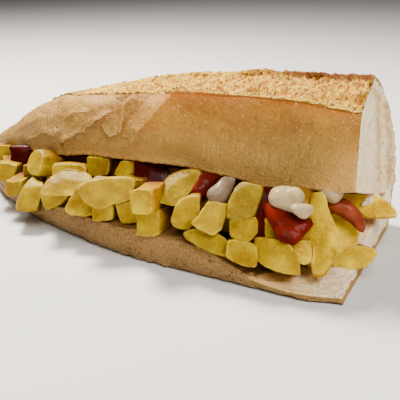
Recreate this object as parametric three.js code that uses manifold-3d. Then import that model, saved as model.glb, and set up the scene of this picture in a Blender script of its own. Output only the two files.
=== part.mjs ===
// A patso: half a crusty white loaf, slit along its front and opened like a clam, packed with fries,
// ketchup and mayonnaise. Millimetres, +Z up. The loaf runs along X with its tip at -X and its cut
// end at +X, and the mouth opens towards -Y. The origin is the middle of the whole thing's base.
import * as THREE from "three";
import { mergeVertices } from "three/addons/utils/BufferGeometryUtils.js";
import Module from "manifold-3d";

const wasm = await Module();
wasm.setup();

// Loaf: lengths along X, from the tip
const TIP_X = -107; // the loaf's pointed end
const CUT_X = 101.4; // where the loaf was cut across, at the table
const SHOULDER_X = 16; // from here to the cut end the loaf has its full width
const LOAF_LENGTH = CUT_X - TIP_X;

// Loaf: widths, measured from its middle line
const MIDDLE_Y = 2.5;
const HALF_WIDTH = 48;
const UPPER_LIP_SHARE = 0.51; // how far forward the upper half reaches, as a share of the half width
const HINGE_SHARE = 0.57; // how far back the slit reaches, as a share of the half width
const BOTTOM_ROUND = 10.5; // radius of the crust where it turns under at the back

// Loaf: heights
const CREST_Z = 76.5;
const TIP_TOP_Z = 25;
const UPPER_LIP_Z = 37.5;
const UPPER_LIP_TIP_Z = 23;
const LIP_SAG_X = 66; // here the upper lip hangs a little lower
const LIP_SAG_REACH = 13;
const LIP_SAG = 1.6;
const HINGE_Z = 20; // middle height of the uncut strip at the back
const HINGE_TIP_Z = 15.5;
const SLIT_GAP = 2.4; // height of the slit where it ends
const LOWER_LIP_Z = 13;
const LOWER_LIP_CUT_Z = 4; // the lower half is pressed thin at the cut end
const TIP_LIFT = 6; // how far the crust curves up from the table at the tip
const TIP_LIFT_LENGTH = 22;
const TIP_LENGTH = 9; // the last stretch, where both halves round off and close
const TIP_DROP = 5; // how far the upper half comes down there
const TIP_HALF = 1.6; // the loaf's half width at its very tip

// How width and height grow from the tip: a power for the far end and a root for the near one
const WIDTH_CURVE = [1.7, 0.78];
const CREST_CURVE = [2, 0.74];
const LIP_CURVE = [2, 1];

// The split along the top of the crust
const SPLIT_START_X = -52;
const SPLIT_FULL_X = 20;
const SPLIT_FRONT_Y = -16; // the split's front edge, a sharp ridge
const SPLIT_BACK_Y = 5; // its back edge, a thin lifted ear
const SPLIT_FRONT_DROP = 10.5; // how far the ridge lies below the crest at the cut end
const EAR_LIFT = 1.6;
const EAR_WIDTH = 2;
const SPLIT_SWELL = 0.9; // how far the crumb has burst up between the two edges

const CUT_SKEW = 0.09; // the cut runs slightly out of square
const CUT_LEAN = 0.055; // and leans back
const CUT_BLEND_X = 60; // from here on the loaf's sections turn towards the cut
const TEAR_Y = 24; // behind this line the cut face is torn and stands proud
const TEAR_PROUD = 1.6;
const CRUMB_UNEVEN = 0.5; // height of the lumps of the cut crumb
const CRUST_UNEVEN = 0.55; // height of the crust's broad lumps
const GAP = 0.45; // clear space between touching pieces, before corners take their share

// Grid of the loaf's mesh: along it, round it and through its thickness
const GRID = [36, 30, 4];

const clamp01 = (t) => Math.min(1, Math.max(0, t));
const lerp = THREE.MathUtils.lerp;
const ease = (from, to, x) => THREE.MathUtils.smoothstep(x, from, to);
// Rises from 0 to 1 as t does, steeply at first, as a loaf's end does.
const rise = (t, [power, root]) => (1 - (1 - clamp01(t)) ** power) ** root;

// Sizes of the loaf's section at a place along it.
function station(x) {
  const share = (x - TIP_X) / LOAF_LENGTH;
  const width = rise((x - TIP_X) / (SHOULDER_X - TIP_X), WIDTH_CURVE);
  const half = Math.max(TIP_HALF, HALF_WIDTH * width);
  const closing = TIP_DROP * (1 - clamp01((x - TIP_X) / TIP_LENGTH)) ** 2;
  const crest = lerp(TIP_TOP_Z, CREST_Z, rise(share, CREST_CURVE)) - closing;
  const upperLip = lerp(UPPER_LIP_TIP_Z, UPPER_LIP_Z, rise(share, LIP_CURVE));
  const splitShare = (to) => clamp01((x - SPLIT_START_X) / (to - SPLIT_START_X));
  const split = Math.sin((Math.PI / 2) * splitShare(SPLIT_FULL_X)) ** 0.8;
  const drop = SPLIT_FRONT_DROP * splitShare(CUT_X) ** 0.8;
  const sag = LIP_SAG * Math.exp(-(((x - LIP_SAG_X) / LIP_SAG_REACH) ** 2));
  const crestY = MIDDLE_Y + 1;
  const lowerLip = lerp(LOWER_LIP_Z, LOWER_LIP_CUT_Z, ease(42, 80, x));
  return {
    x,
    width,
    crest,
    split,
    inset: lerp(3.4, 0.8, ease(-40, 30, x)) * width, // of the base behind the lower half's front
    floor: TIP_LIFT * (1 - clamp01((x - TIP_X) / TIP_LIFT_LENGTH)) ** 3,
    front: MIDDLE_Y - half,
    back: MIDDLE_Y + half,
    ridge: [lerp(crestY, SPLIT_FRONT_Y, split), crest - drop],
    ear: [lerp(crestY, SPLIT_BACK_Y, split), crest],
    upLip: [MIDDLE_Y - UPPER_LIP_SHARE * half, upperLip - sag - closing],
    lowLip: [MIDDLE_Y - half + 0.5, lowerLip],
    hinge: [MIDDLE_Y + HINGE_SHARE * half, lerp(HINGE_TIP_Z, HINGE_Z, width)],
    gap: (SLIT_GAP / 2) * Math.min(1, half / (4 * SLIT_GAP)),
  };
}

// The crust from the front of the base (0), under the loaf and up its back, to the split's ridge (1).
const BASE_END = 0.3,
  BACK_END = 0.8;
function crust(s, t) {
  const under = s.back - BOTTOM_ROUND * s.width;
  const middle = s.hinge[1];
  if (t < BASE_END) {
    const k = t / BASE_END;
    return [lerp(s.front + s.inset, under, k), s.floor + 0.9 * (1 - clamp01(k / 0.06)) ** 2];
  }
  if (t < BACK_END) {
    const angle = ((t - BASE_END) / (BACK_END - BASE_END)) * Math.PI * 0.75 - Math.PI * 0.25;
    if (angle < 0) {
      const a = angle * 2; // a quarter ellipse from the base to the widest place
      return [lerp(under, s.back, Math.cos(a)), middle + (middle - s.floor) * Math.sin(a)];
    }
    const round = 2 / 1.5; // a flatter quarter from there to the ear
    return [
      lerp(s.ear[0] + EAR_WIDTH, s.back, Math.cos(angle) ** round),
      lerp(middle, s.crest - EAR_LIFT * s.split, Math.sin(angle) ** round),
    ];
  }
  const k = (t - BACK_END) / (1 - BACK_END);
  const swell = Math.sin(Math.PI * k) * SPLIT_SWELL * s.split;
  const lift = EAR_LIFT * s.split * Math.exp(-(((k - 0.12) / 0.1) ** 2));
  return [
    lerp(s.ear[0] + EAR_WIDTH, s.ridge[0], k),
    lerp(s.crest - EAR_LIFT * s.split, s.ridge[1], k) + swell + lift,
  ];
}

// The two cut faces: the lower from its lip to the end of the slit, the upper from there to its lip.
function lowerFace(s, k) {
  return [lerp(s.lowLip[0], s.hinge[0], k), lerp(s.lowLip[1], s.hinge[1] - s.gap, k * k)];
}
function upperFace(s, k) {
  return [lerp(s.hinge[0], s.upLip[0], k), lerp(s.hinge[1] + s.gap, s.upLip[1], k ** 1.15)];
}

// The inside of the mouth, from the lower lip (0) round the end of the slit to the upper lip (1).
const LOWER_END = 0.36,
  UPPER_START = 0.6;
function mouth(s, t) {
  if (t < LOWER_END) return lowerFace(s, t / LOWER_END);
  if (t > UPPER_START) return upperFace(s, (t - UPPER_START) / (1 - UPPER_START));
  const a = Math.PI * ((t - LOWER_END) / (UPPER_START - LOWER_END) - 0.5);
  return [s.hinge[0] + s.gap * Math.cos(a), s.hinge[1] + s.gap * Math.sin(a)];
}

// The front of the upper half, from its lip (0) to the ridge or crest (1), and the lower half's edge.
function upperFront(s, k) {
  const round = lerp(1, 0.4, s.split);
  const y = lerp(k, 1 - Math.cos((k * Math.PI) / 2), round);
  const z = lerp(k, Math.sin((k * Math.PI) / 2), round);
  return [lerp(s.upLip[0], s.ridge[0], y), lerp(s.upLip[1], s.ridge[1], z)];
}
function lowerFront(s, k) {
  const [yBase, zBase] = crust(s, 0);
  const bulge = 0.12 * (s.lowLip[1] - zBase) * Math.sin(Math.PI * k);
  return [lerp(s.lowLip[0], yBase, k) - bulge, lerp(s.lowLip[1], zBase, k)];
}

// Broad low lumps, in millimetres, that make a surface look baked and not turned.
function lumps(x, y, z) {
  return (
    Math.sin(x / 9.1 + Math.sin(z / 7.3) * 1.3) * Math.sin(z / 8.7 + y / 13.1 + 1.1) +
    0.6 * Math.sin(x / 4.7 + y / 5.9) * Math.sin(z / 5.3 - x / 17.0)
  );
}

// A point of the loaf: along (0 tip, 1 cut end), round (0 base front, 1 ridge), depth (0 crust, 1 mouth).
function loafPoint(along, round, depth) {
  const through = 1 - depth;
  const s = station(lerp(TIP_X, CUT_X, along ** 1.25));
  const [yIn, zIn] = mouth(s, round);
  const [yOut, zOut] = crust(s, round);
  let y = lerp(yIn, yOut, through),
    z = lerp(zIn, zOut, through);
  if (round === 1) [y, z] = upperFront(s, through);
  if (round === 0) [y, z] = lowerFront(s, through);
  const onCrust = through === 1 || round === 1 ? 1 : 0;
  const resting = z < s.floor + 1.5 ? 0 : ease(s.floor + 1.5, s.floor + 8, z);
  const swell = CRUST_UNEVEN * lumps(s.x, y, z) * onCrust * resting * s.width;
  const outY = y - MIDDLE_Y,
    outZ = z - (s.hinge[1] + 15);
  const reach = Math.hypot(outY, outZ) || 1;
  y += (swell * outY) / reach;
  z += (swell * outZ) / reach;
  const cut = (CUT_SKEW * y + CUT_LEAN * z) * ease(CUT_BLEND_X, CUT_X, s.x);
  if (along < 1) return [s.x - cut, y, z];
  const torn = TEAR_PROUD * ease(TEAR_Y, TEAR_Y + 8, y) * ease(10, 30, z);
  const crumb = CRUMB_UNEVEN * lumps(y, z, y) * Math.sin(Math.PI * through);
  return [s.x - cut + torn + crumb, y, z];
}

// A geometry whose faces share their vertices, as a closed body needs.
function joined(geometry) {
  geometry.deleteAttribute("normal");
  geometry.deleteAttribute("uv");
  return mergeVertices(geometry, 1e-5);
}

// Moves each vertex of a unit box to where place(a, b, c) says, with a, b and c from 0 to 1.
function shaped(segments, place) {
  const g = joined(new THREE.BoxGeometry(1, 1, 1, ...segments));
  const p = g.attributes.position;
  for (let i = 0; i < p.count; i++) {
    const snapped = [p.getX(i), p.getY(i), p.getZ(i)].map((v) => Math.round((v + 0.5) * 1e5) / 1e5);
    p.setXYZ(i, ...place(...snapped));
  }
  return g;
}

function solid(g) {
  return new wasm.Manifold(
    new wasm.Mesh({
      numProp: 3,
      vertProperties: new Float32Array(g.attributes.position.array),
      triVerts: new Uint32Array(g.index.array),
    }),
  );
}

// The same surface pushed outwards, to cut clear space for it in a neighbour.
function grown(g, by) {
  const wider = g.clone();
  wider.computeVertexNormals();
  const p = wider.attributes.position,
    n = wider.attributes.normal;
  for (let i = 0; i < p.count; i++)
    p.setXYZ(i, p.getX(i) + by * n.getX(i), p.getY(i) + by * n.getY(i), p.getZ(i) + by * n.getZ(i));
  wider.deleteAttribute("normal");
  return wider;
}

// The main body of a solid, without the scraps that cutting leaves.
function largest(body) {
  return body.decompose().sort((a, b) => b.volume() - a.volume())[0];
}

// Fries. Each is placed by the middle of its tip. Heading is degrees from straight out of the mouth
// towards the cut end, dip is degrees below level, and point is 0 for a stick and 1 for a sliver.
const FRY_SEGMENTS = [2, 4, 2];
const fry = (x, y, z, heading, dip, roll, wide, high, long, point = 0) => ({
  tip: new THREE.Vector3(x, y, z),
  heading,
  dip,
  roll,
  wide,
  high,
  long,
  point,
});
const FRIES = [
  // resting on the lower lip, from the loaf's tip to its cut end
  fry(-72.5, -24, 18, -10, 0, 5, 9.5, 9, 35),
  fry(-60.5, -32.5, 15.8, 0, 22, 8, 10, 10, 38),
  fry(-45, -41, 13, 8, 40, 10, 11, 10, 21),
  fry(-14, -45, 18.5, -5, 15, 20, 10, 10, 40),
  fry(0.5, -43.5, 17.5, 8, 2, 0, 9.5, 8.5, 40),
  fry(9.5, -41, 18, 5, 3, 5, 9, 9, 40),
  fry(22.5, -46, 18.3, -25, 3, 0, 10.5, 10, 34),
  fry(40.5, -44, 22, 5, 12, 12, 11.5, 11, 40, 0.1),
  fry(61, -47.5, 16.8, 68, 6, 5, 9.5, 9.5, 30),
  fry(71, -47, 15, 62, 6, 0, 10.5, 10.5, 28),
  fry(87.5, -44.5, 13, 65, 5, 0, 12, 11.5, 32, 0.6),
  fry(88, -37, 15.5, 20, 12, 0, 9.5, 10, 36),
  fry(96, -37.5, 14.8, 22, 42, 0, 9.5, 9, 27),
  fry(98, -16, 15.2, 45, 20, 0, 9.5, 9.5, 30),
  fry(109, -14.5, 11.4, 100, -1, 0, 9, 9, 32, 0.4),
  fry(107.5, 10, 19.2, 85, 4, 0, 9, 8.2, 34, 0.7),
  // lying on those
  fry(-28, -45, 20.5, -8, 6, 45, 11, 11.5, 44, 0.4),
  fry(-6.5, -50.5, 27.3, -62, 2, 0, 9.5, 12, 29, 0.75),
  fry(24, -49.5, 28, -32, 2, 0, 10, 10.4, 24),
  fry(51.5, -44, 23.8, 0, 4, 35, 11, 12, 40, 0.2),
  fry(63, -38.5, 21, 15, 2, 0, 10.5, 9.6, 38),
  fry(76, -36, 22, 15, 8, 0, 9, 9, 34),
  // reaching up to the upper lip
  fry(-87, -13, 21.5, -15, 0, 0, 9, 8.5, 28),
  fry(-48, -30, 26.5, -20, 0, 10, 10, 10, 38),
  fry(-33, -33, 26.5, -40, 0, 0, 9, 8, 30),
  fry(-14.5, -27, 29, 0, 0, 0, 11, 9.5, 30),
  fry(-1.5, -27.5, 30.3, 10, 0, 15, 9, 8, 30),
  fry(31.5, -42, 31.4, 0, -5, 0, 11, 11, 40),
  fry(65, -44, 31, 12, -6, 0, 11, 11, 40),
  fry(84, -21, 30, 0, 0, 0, 9, 9, 25),
  // further in, seen through the gaps
  fry(-40, -29, 20.5, 5, 0, 0, 10, 9, 30),
  fry(-8, -34, 21.5, -4, 0, 0, 10, 9, 30),
  fry(12, -24, 21, 6, 0, 0, 10, 9, 26),
  fry(36, -27, 20, -6, 0, 0, 9, 9, 26),
  fry(49, -26, 22, 4, 0, 0, 10, 9, 26),
  fry(79, -27, 16, -5, 0, 0, 9, 9, 26),
  // at the loaf's tip
  fry(-82, -16.5, 17.6, -40, 0, 0, 9, 8.5, 30),
  fry(-96, -3, 18, -80, 0, 5, 9, 8.5, 34, 0.2),
];

function fryShape(f, grow) {
  const turn = new THREE.Matrix4()
    .makeRotationZ(THREE.MathUtils.degToRad(f.heading))
    .multiply(new THREE.Matrix4().makeRotationX(THREE.MathUtils.degToRad(f.dip)))
    .multiply(new THREE.Matrix4().makeRotationY(THREE.MathUtils.degToRad(f.roll)))
    .setPosition(f.tip);
  const rings = [-grow, 2.2, 0.34 * f.long, 0.7 * f.long, f.long + grow]; // sections, from the tip
  return shaped(FRY_SEGMENTS, (a, b, c) => {
    const back = rings[Math.round(b * FRY_SEGMENTS[1])];
    const end = b === 0 || b === 1 ? 0.86 : 1;
    const taper = 1 - f.point * 0.6 * (1 - clamp01(back / (0.7 * f.long)));
    const corner = a % 1 === 0 && c % 1 === 0 ? 0.9 : 1.03; // rounds the four long edges
    const across = (a - 0.5) * (f.wide + 2 * grow) * end * corner * (1 - f.point * 0.25 * (1 - b));
    const up = (c - 0.5) * (f.high + 2 * grow) * end * corner * taper;
    return new THREE.Vector3(across, back, up).applyMatrix4(turn).toArray();
  });
}

// The packed middle of the heap, between the cut faces of the bread.
const CORE_FROM_X = -88,
  CORE_TO_X = 84,
  CORE_RECESS = 5, // how far behind the upper lip its front lies
  CORE_SHORT = 14, // how far before the end of the slit it stops
  CORE_CLEAR = 1.3; // its distance from the cut faces, which the fries fill
function coreShape(grow) {
  return shaped([14, 2, 1], (a, b, c) => {
    const s = station(lerp(CORE_FROM_X - grow, CORE_TO_X + grow, a));
    const y = lerp(s.upLip[0] + CORE_RECESS - grow, s.hinge[0] - CORE_SHORT + grow, b);
    const low = lowerFace(s, (y - s.lowLip[0]) / (s.hinge[0] - s.lowLip[0]))[1] + CORE_CLEAR;
    const high = upperFace(s, (s.hinge[0] - y) / (s.hinge[0] - s.upLip[0]))[1] - CORE_CLEAR;
    return [s.x, y, lerp(low - grow, high + grow, c)];
  });
}

function heap(grow) {
  const pieces = [coreShape(grow), ...FRIES.map((f) => fryShape(f, grow))];
  return wasm.Manifold.union(pieces.map(solid));
}

// A run of sauce along a curve: fat in its middle and closed at both ends.
function runShape(points, wide, thick, grow) {
  const curve = new THREE.CatmullRomCurve3(points.map((p) => new THREE.Vector3(...p)));
  const ball = joined(new THREE.SphereGeometry(1, 10, 8));
  const p = ball.attributes.position;
  for (let i = 0; i < p.count; i++) {
    const t = clamp01(0.5 - p.getY(i) / 2);
    const along = curve.getTangentAt(t);
    const side = new THREE.Vector3(-along.y, along.x, 0).normalize();
    const over = new THREE.Vector3().crossVectors(along, side);
    const spot = curve
      .getPointAt(t)
      .addScaledVector(side, p.getX(i) * (wide / 2 + grow))
      .addScaledVector(over, p.getZ(i) * (thick / 2 + grow));
    p.setXYZ(i, ...spot.toArray());
  }
  return ball;
}

// Each sauce lies where it was squeezed: runs of [points, width, thickness], joined where they touch.
const SAUCES = {
  ketchup_tip: [[[[-78, -13, 22.5], [-69, -17, 24], [-60, -19, 25]], 12, 10]],
  ketchup_middle: [[[[2, -21, 30], [14, -25, 28.5], [27, -24, 30]], 14, 13]],
  ketchup_drop: [[[[46, -20, 32], [41, -27, 31.5], [38.5, -35, 29.5]], 9, 7]],
  ketchup_pool: [
    [[[68, -24, 29], [77, -28, 28], [88, -27, 26]], 15, 11],
    [[[77, -26, 30], [81, -34, 27], [84, -42, 19]], 17, 8],
  ],
  ketchup_end: [[[[89, -19, 31], [97, -16, 28], [102, -11, 19.5]], 8, 6]],
  mayonnaise_drop: [[[[48.5, -22, 33], [50.5, -31, 33.2], [52.5, -41, 32.4]], 8.5, 7]],
  mayonnaise_dollop: [
    [[[71, -28, 32], [77, -31, 32], [84, -30, 32]], 13, 11.5],
    [[[79, -32, 31.5], [84, -35, 31.3], [89, -36, 32]], 6.5, 5.5],
  ],
  mayonnaise_end: [[[[86, -19.5, 32.5], [91, -23.5, 32.4], [97, -21, 31.5]], 9, 7]],
};

const COLOURS = { bread: "#c48a45", fries: "#dcb73a", ketchup: "#8f1a10", mayonnaise: "#efe6d2" };
const FINISH = { bread: 0.8, fries: 0.45, ketchup: 0.15, mayonnaise: 0.3 };

function mesh(name, body) {
  const m = body.getMesh();
  const g = new THREE.BufferGeometry()
    .setAttribute("position", new THREE.BufferAttribute(m.vertProperties, 3))
    .setIndex(new THREE.BufferAttribute(m.triVerts, 1));
  const kind = name.split("_")[0];
  const look = { color: COLOURS[kind], roughness: FINISH[kind], metalness: 0 };
  const made = new THREE.Mesh(g, new THREE.MeshStandardMaterial(look));
  made.name = name;
  return made;
}

const loafShape = shaped(GRID, loafPoint);
const breadRoom = solid(grown(loafShape, GAP));
const fries = largest(heap(0).subtract(breadRoom));
const sandwich = new THREE.Group();
sandwich.add(mesh("bread", solid(loafShape)), mesh("fries", fries));

let taken = heap(GAP).add(breadRoom);
for (const [name, runs] of Object.entries(SAUCES)) {
  const sauce = (grow) => wasm.Manifold.union(runs.map((r) => solid(runShape(...r, grow))));
  sandwich.add(mesh(name, largest(sauce(0).subtract(taken))));
  taken = taken.add(sauce(GAP));
}

// Everything moves so that the origin is the middle of the base.
const extent = new THREE.Box3().setFromObject(sandwich);
sandwich.position.set(-(extent.min.x + extent.max.x) / 2, -(extent.min.y + extent.max.y) / 2, -extent.min.z);

export default sandwich;
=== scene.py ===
"""A patso: half a crusty white loaf, slit along its front and opened like a clam, packed with thick
fries, ketchup and mayonnaise. The loaf lies along X with its cut end at +X, and its mouth opens
towards -Y. Lengths are millimetres here and become metres in the meshes.
"""

import math
import random
from types import SimpleNamespace

import bpy
import numpy as np
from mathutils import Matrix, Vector, noise


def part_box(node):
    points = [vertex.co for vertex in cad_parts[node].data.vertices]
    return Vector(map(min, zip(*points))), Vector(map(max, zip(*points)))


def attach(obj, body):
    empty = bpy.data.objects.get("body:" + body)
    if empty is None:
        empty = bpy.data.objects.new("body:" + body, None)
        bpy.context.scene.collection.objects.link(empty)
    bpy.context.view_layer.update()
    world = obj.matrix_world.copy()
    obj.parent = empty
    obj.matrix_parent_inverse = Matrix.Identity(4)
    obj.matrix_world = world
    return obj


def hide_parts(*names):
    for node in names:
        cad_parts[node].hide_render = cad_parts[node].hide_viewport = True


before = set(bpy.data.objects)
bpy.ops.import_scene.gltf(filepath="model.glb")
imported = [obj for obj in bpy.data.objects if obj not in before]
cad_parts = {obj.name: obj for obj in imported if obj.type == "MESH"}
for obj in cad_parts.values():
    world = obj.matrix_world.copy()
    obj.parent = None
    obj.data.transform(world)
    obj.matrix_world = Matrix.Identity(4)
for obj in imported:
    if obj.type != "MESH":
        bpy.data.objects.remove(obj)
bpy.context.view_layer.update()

MM = 0.001

# The loaf, as the solid has it
TIP_X = -107
CUT_X = 101.4
SHOULDER_X = 16
MIDDLE_Y = 2.5
HALF_WIDTH = 48
UPPER_LIP_SHARE = 0.51
HINGE_SHARE = 0.57
BOTTOM_ROUND = 10.5
CREST_Z = 76.5
TIP_TOP_Z = 25
UPPER_LIP_Z = 37.5
UPPER_LIP_TIP_Z = 23
LIP_SAG = (66, 13, 1.6)  # where the upper lip hangs lower, how far that reaches and how much
HINGE_Z = 20
HINGE_TIP_Z = 15.5
SLIT_GAP = 2.4
LOWER_LIP_Z = 13
LOWER_LIP_CUT_Z = 4
LOWER_LIP_DROPS_X = (42, 80)
BASE_INSET = (3.4, 0.8)  # how far the base starts behind the front, towards the tip and the cut
TIP_LIFT = 6
TIP_LIFT_LENGTH = 22
TIP_LENGTH = 9
TIP_DROP = 5
TIP_HALF = 1.6
WIDTH_CURVE = (1.7, 0.78)
CREST_CURVE = (2, 0.74)
LIP_CURVE = (2, 1)
SPLIT_CURVE = 0.8
SPLIT_START_X = -52
SPLIT_FULL_X = 20
SPLIT_FRONT_Y = -16
SPLIT_BACK_Y = 5
SPLIT_FRONT_DROP = 10.5
EAR_LIFT = 1.6
EAR_WIDTH = 2
SPLIT_SWELL = 0.9
CUT_SKEW = 0.09
CUT_LEAN = 0.055
CUT_BLEND_X = 60
TEAR_Y = 24
TEAR_PROUD = 1.6
CRUST_UNEVEN = 0.55
BASE_END = 0.3
BACK_END = 0.8
LOWER_END = 0.36
UPPER_START = 0.6


def share(value, low=0.0, high=1.0):
    """How far value is from low to high, kept from 0 to 1."""
    return np.clip((value - low) / (high - low), 0, 1)


def ease(low, high, value):
    """The same share, starting and ending gently."""
    t = share(value, low, high)
    return t * t * (3 - 2 * t)


def fall(low, high, value):
    """The rest of that share, so from 1 down to 0."""
    return 1 - ease(low, high, value)


def hump(value, middle, reach):
    """1 in the middle, falling away on either side."""
    return np.exp(-(((value - middle) / reach) ** 2))


def lerp(a, b, t):
    return a + (b - a) * t


def rise(t, curve):
    """Rises from 0 to 1 as t does, steeply at first, as a loaf's end does."""
    power, root = curve
    return (1 - (1 - np.clip(t, 0, 1)) ** power) ** root


def station(x):
    """Sizes of the loaf's section at x."""
    along = share(x, TIP_X, CUT_X)
    width = rise(share(x, TIP_X, SHOULDER_X), WIDTH_CURVE)
    half = np.maximum(TIP_HALF, HALF_WIDTH * width)
    closing = TIP_DROP * (1 - share(x, TIP_X, TIP_X + TIP_LENGTH)) ** 2
    crest = lerp(TIP_TOP_Z, CREST_Z, rise(along, CREST_CURVE)) - closing
    split = np.sin(np.pi / 2 * share(x, SPLIT_START_X, SPLIT_FULL_X)) ** SPLIT_CURVE
    drop = SPLIT_FRONT_DROP * share(x, SPLIT_START_X, CUT_X) ** SPLIT_CURVE
    sag_x, sag_reach, sag = LIP_SAG
    upper_lip = lerp(UPPER_LIP_TIP_Z, UPPER_LIP_Z, rise(along, LIP_CURVE)) - closing
    upper_lip = upper_lip - sag * hump(x, sag_x, sag_reach)
    lower_lip = lerp(LOWER_LIP_Z, LOWER_LIP_CUT_Z, ease(*LOWER_LIP_DROPS_X, x))
    return SimpleNamespace(
        width=width,
        crest=crest,
        split=split,
        inset=lerp(*BASE_INSET, ease(-40, 30, x)) * width,
        floor=TIP_LIFT * (1 - share(x, TIP_X, TIP_X + TIP_LIFT_LENGTH)) ** 3,
        front=MIDDLE_Y - half,
        back=MIDDLE_Y + half,
        ridge=(lerp(MIDDLE_Y + 1, SPLIT_FRONT_Y, split), crest - drop),
        ear=lerp(MIDDLE_Y + 1, SPLIT_BACK_Y, split),
        upper_lip=(MIDDLE_Y - UPPER_LIP_SHARE * half, upper_lip),
        lower_lip=(MIDDLE_Y - half + 0.5, lower_lip),
        hinge=(MIDDLE_Y + HINGE_SHARE * half, lerp(HINGE_TIP_Z, HINGE_Z, width)),
        gap=SLIT_GAP / 2 * np.minimum(1, half / (4 * SLIT_GAP)),
    )


def crust(s, t):
    """The crust from the front of the base (0), under the loaf and up its back, to the ridge (1)."""
    under = s.back - BOTTOM_ROUND * s.width
    middle = s.hinge[1]
    ear_y, ear_z = s.ear + EAR_WIDTH, s.crest - EAR_LIFT * s.split
    base = share(t, 0, BASE_END)
    turn = share(t, BASE_END, BACK_END) * np.pi * 0.75 - np.pi * 0.25
    down, up = np.minimum(turn, 0) * 2, np.maximum(turn, 0)
    flatter = 2 / 1.5
    k = share(t, BACK_END, 1)
    swell = np.sin(np.pi * k) * SPLIT_SWELL * s.split
    lift = EAR_LIFT * s.split * hump(k, 0.12, 0.1)
    where = [t < BASE_END, turn < 0, t < BACK_END]
    y = np.select(
        where,
        [
            lerp(s.front + s.inset, under, base),
            lerp(under, s.back, np.cos(down)),
            lerp(ear_y, s.back, np.abs(np.cos(up)) ** flatter),
        ],
        lerp(ear_y, s.ridge[0], k),
    )
    z = np.select(
        where,
        [
            s.floor + 0.9 * (1 - share(base, 0, 0.06)) ** 2,
            middle + (middle - s.floor) * np.sin(down),
            lerp(middle, ear_z, np.sin(up) ** flatter),
        ],
        lerp(ear_z, s.ridge[1], k) + swell + lift,
    )
    return y, z


def lower_face(s, k):
    """The lower half's cut face, from its lip to the end of the slit."""
    return lerp(s.lower_lip[0], s.hinge[0], k), lerp(s.lower_lip[1], s.hinge[1] - s.gap, k * k)


def upper_face(s, k):
    """The upper half's cut face, from the end of the slit to its lip."""
    return lerp(s.hinge[0], s.upper_lip[0], k), lerp(s.hinge[1] + s.gap, s.upper_lip[1], k**1.15)


def mouth(s, t):
    """The inside of the mouth, from the lower lip (0) round the slit's end to the upper lip (1)."""
    low = lower_face(s, share(t, 0, LOWER_END))
    high = upper_face(s, share(t, UPPER_START, 1))
    turn = np.pi * (share(t, LOWER_END, UPPER_START) - 0.5)
    end = s.hinge[0] + s.gap * np.cos(turn), s.hinge[1] + s.gap * np.sin(turn)
    return tuple(np.select([t < LOWER_END, t > UPPER_START], [low[i], high[i]], end[i]) for i in (0, 1))


def upper_front(s, k):
    """The front of the upper half, from its lip (0) to the ridge (1)."""
    straight = lerp(1, 0.4, s.split)
    y = lerp(k, 1 - np.cos(k * np.pi / 2), straight)
    z = lerp(k, np.sin(k * np.pi / 2), straight)
    return lerp(s.upper_lip[0], s.ridge[0], y), lerp(s.upper_lip[1], s.ridge[1], z)


def lower_front(s, k):
    """The lower half's front edge, from its lip (0) to the base (1)."""
    base_y, base_z = crust(s, np.zeros_like(k))
    bulge = 0.12 * (s.lower_lip[1] - base_z) * np.sin(np.pi * k)
    return lerp(s.lower_lip[0], base_y, k) - bulge, lerp(s.lower_lip[1], base_z, k)


def lumps(x, y, z):
    """Broad low lumps of the crust."""
    broad = np.sin(x / 9.1 + np.sin(z / 7.3) * 1.3) * np.sin(z / 8.7 + y / 13.1 + 1.1)
    return broad + 0.6 * np.sin(x / 4.7 + y / 5.9) * np.sin(z / 5.3 - x / 17.0)


def loaf(x, around, depth):
    """Points of the loaf. Around runs from 0, the base's front, to 1, the ridge, and depth from 0, on
    the crust, to 1, in the mouth."""
    x, around, depth = np.broadcast_arrays(*(np.asarray(v, float) for v in (x, around, depth)))
    s = station(x)
    through = 1 - depth
    inner, outer = mouth(s, around), crust(s, around)
    front, edge = upper_front(s, through), lower_front(s, through)
    ends = [around == 1, around == 0]
    y, z = (np.select(ends, [front[i], edge[i]], lerp(inner[i], outer[i], through)) for i in (0, 1))
    on_crust = (through == 1) | (around == 1)
    resting = np.where(z < s.floor + 1.5, 0, ease(s.floor + 1.5, s.floor + 8, z))
    swell = CRUST_UNEVEN * lumps(x, y, z) * on_crust * resting * s.width
    out_y, out_z = y - MIDDLE_Y, z - (s.hinge[1] + 15)
    reach = np.maximum(np.hypot(out_y, out_z), 1e-6)
    y, z = y + swell * out_y / reach, z + swell * out_z / reach
    cut = (CUT_SKEW * y + CUT_LEAN * z) * ease(CUT_BLEND_X, CUT_X, x)
    torn = TEAR_PROUD * ease(TEAR_Y, TEAR_Y + 8, y) * ease(10, 30, z) * (x == CUT_X)
    return np.stack([x - cut + torn, y, z], -1)


# The solid's own grid gives its furthest point back, and so how it was moved to centre its base
CAD_X = TIP_X + (CUT_X - TIP_X) * np.linspace(0, 1, 37) ** 1.25
cad_back = loaf(CAD_X[:, None], np.linspace(0, 1, 31)[None, :], 0)[..., 1].max()
bread_low, bread_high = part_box("bread")
SHIFT = np.array([bread_low.x / MM - TIP_X, bread_high.y / MM - cad_back, 0])


# The camera stands where the photograph was taken from
AZIMUTH, ELEVATION, DISTANCE = math.radians(30), math.radians(20), 370.7
TARGET = np.array([4, 31.6, 0])
FRAME_PIXELS, FOCAL_PIXELS, SENSOR = 400, 728, 36
TOWARDS = np.array([
    math.sin(AZIMUTH) * math.cos(ELEVATION), -math.cos(AZIMUTH) * math.cos(ELEVATION), math.sin(ELEVATION)
])
EYE = TARGET + DISTANCE * TOWARDS
RIGHT = np.array([math.cos(AZIMUTH), math.sin(AZIMUTH), 0])
UP = np.cross(TOWARDS, RIGHT)


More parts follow.
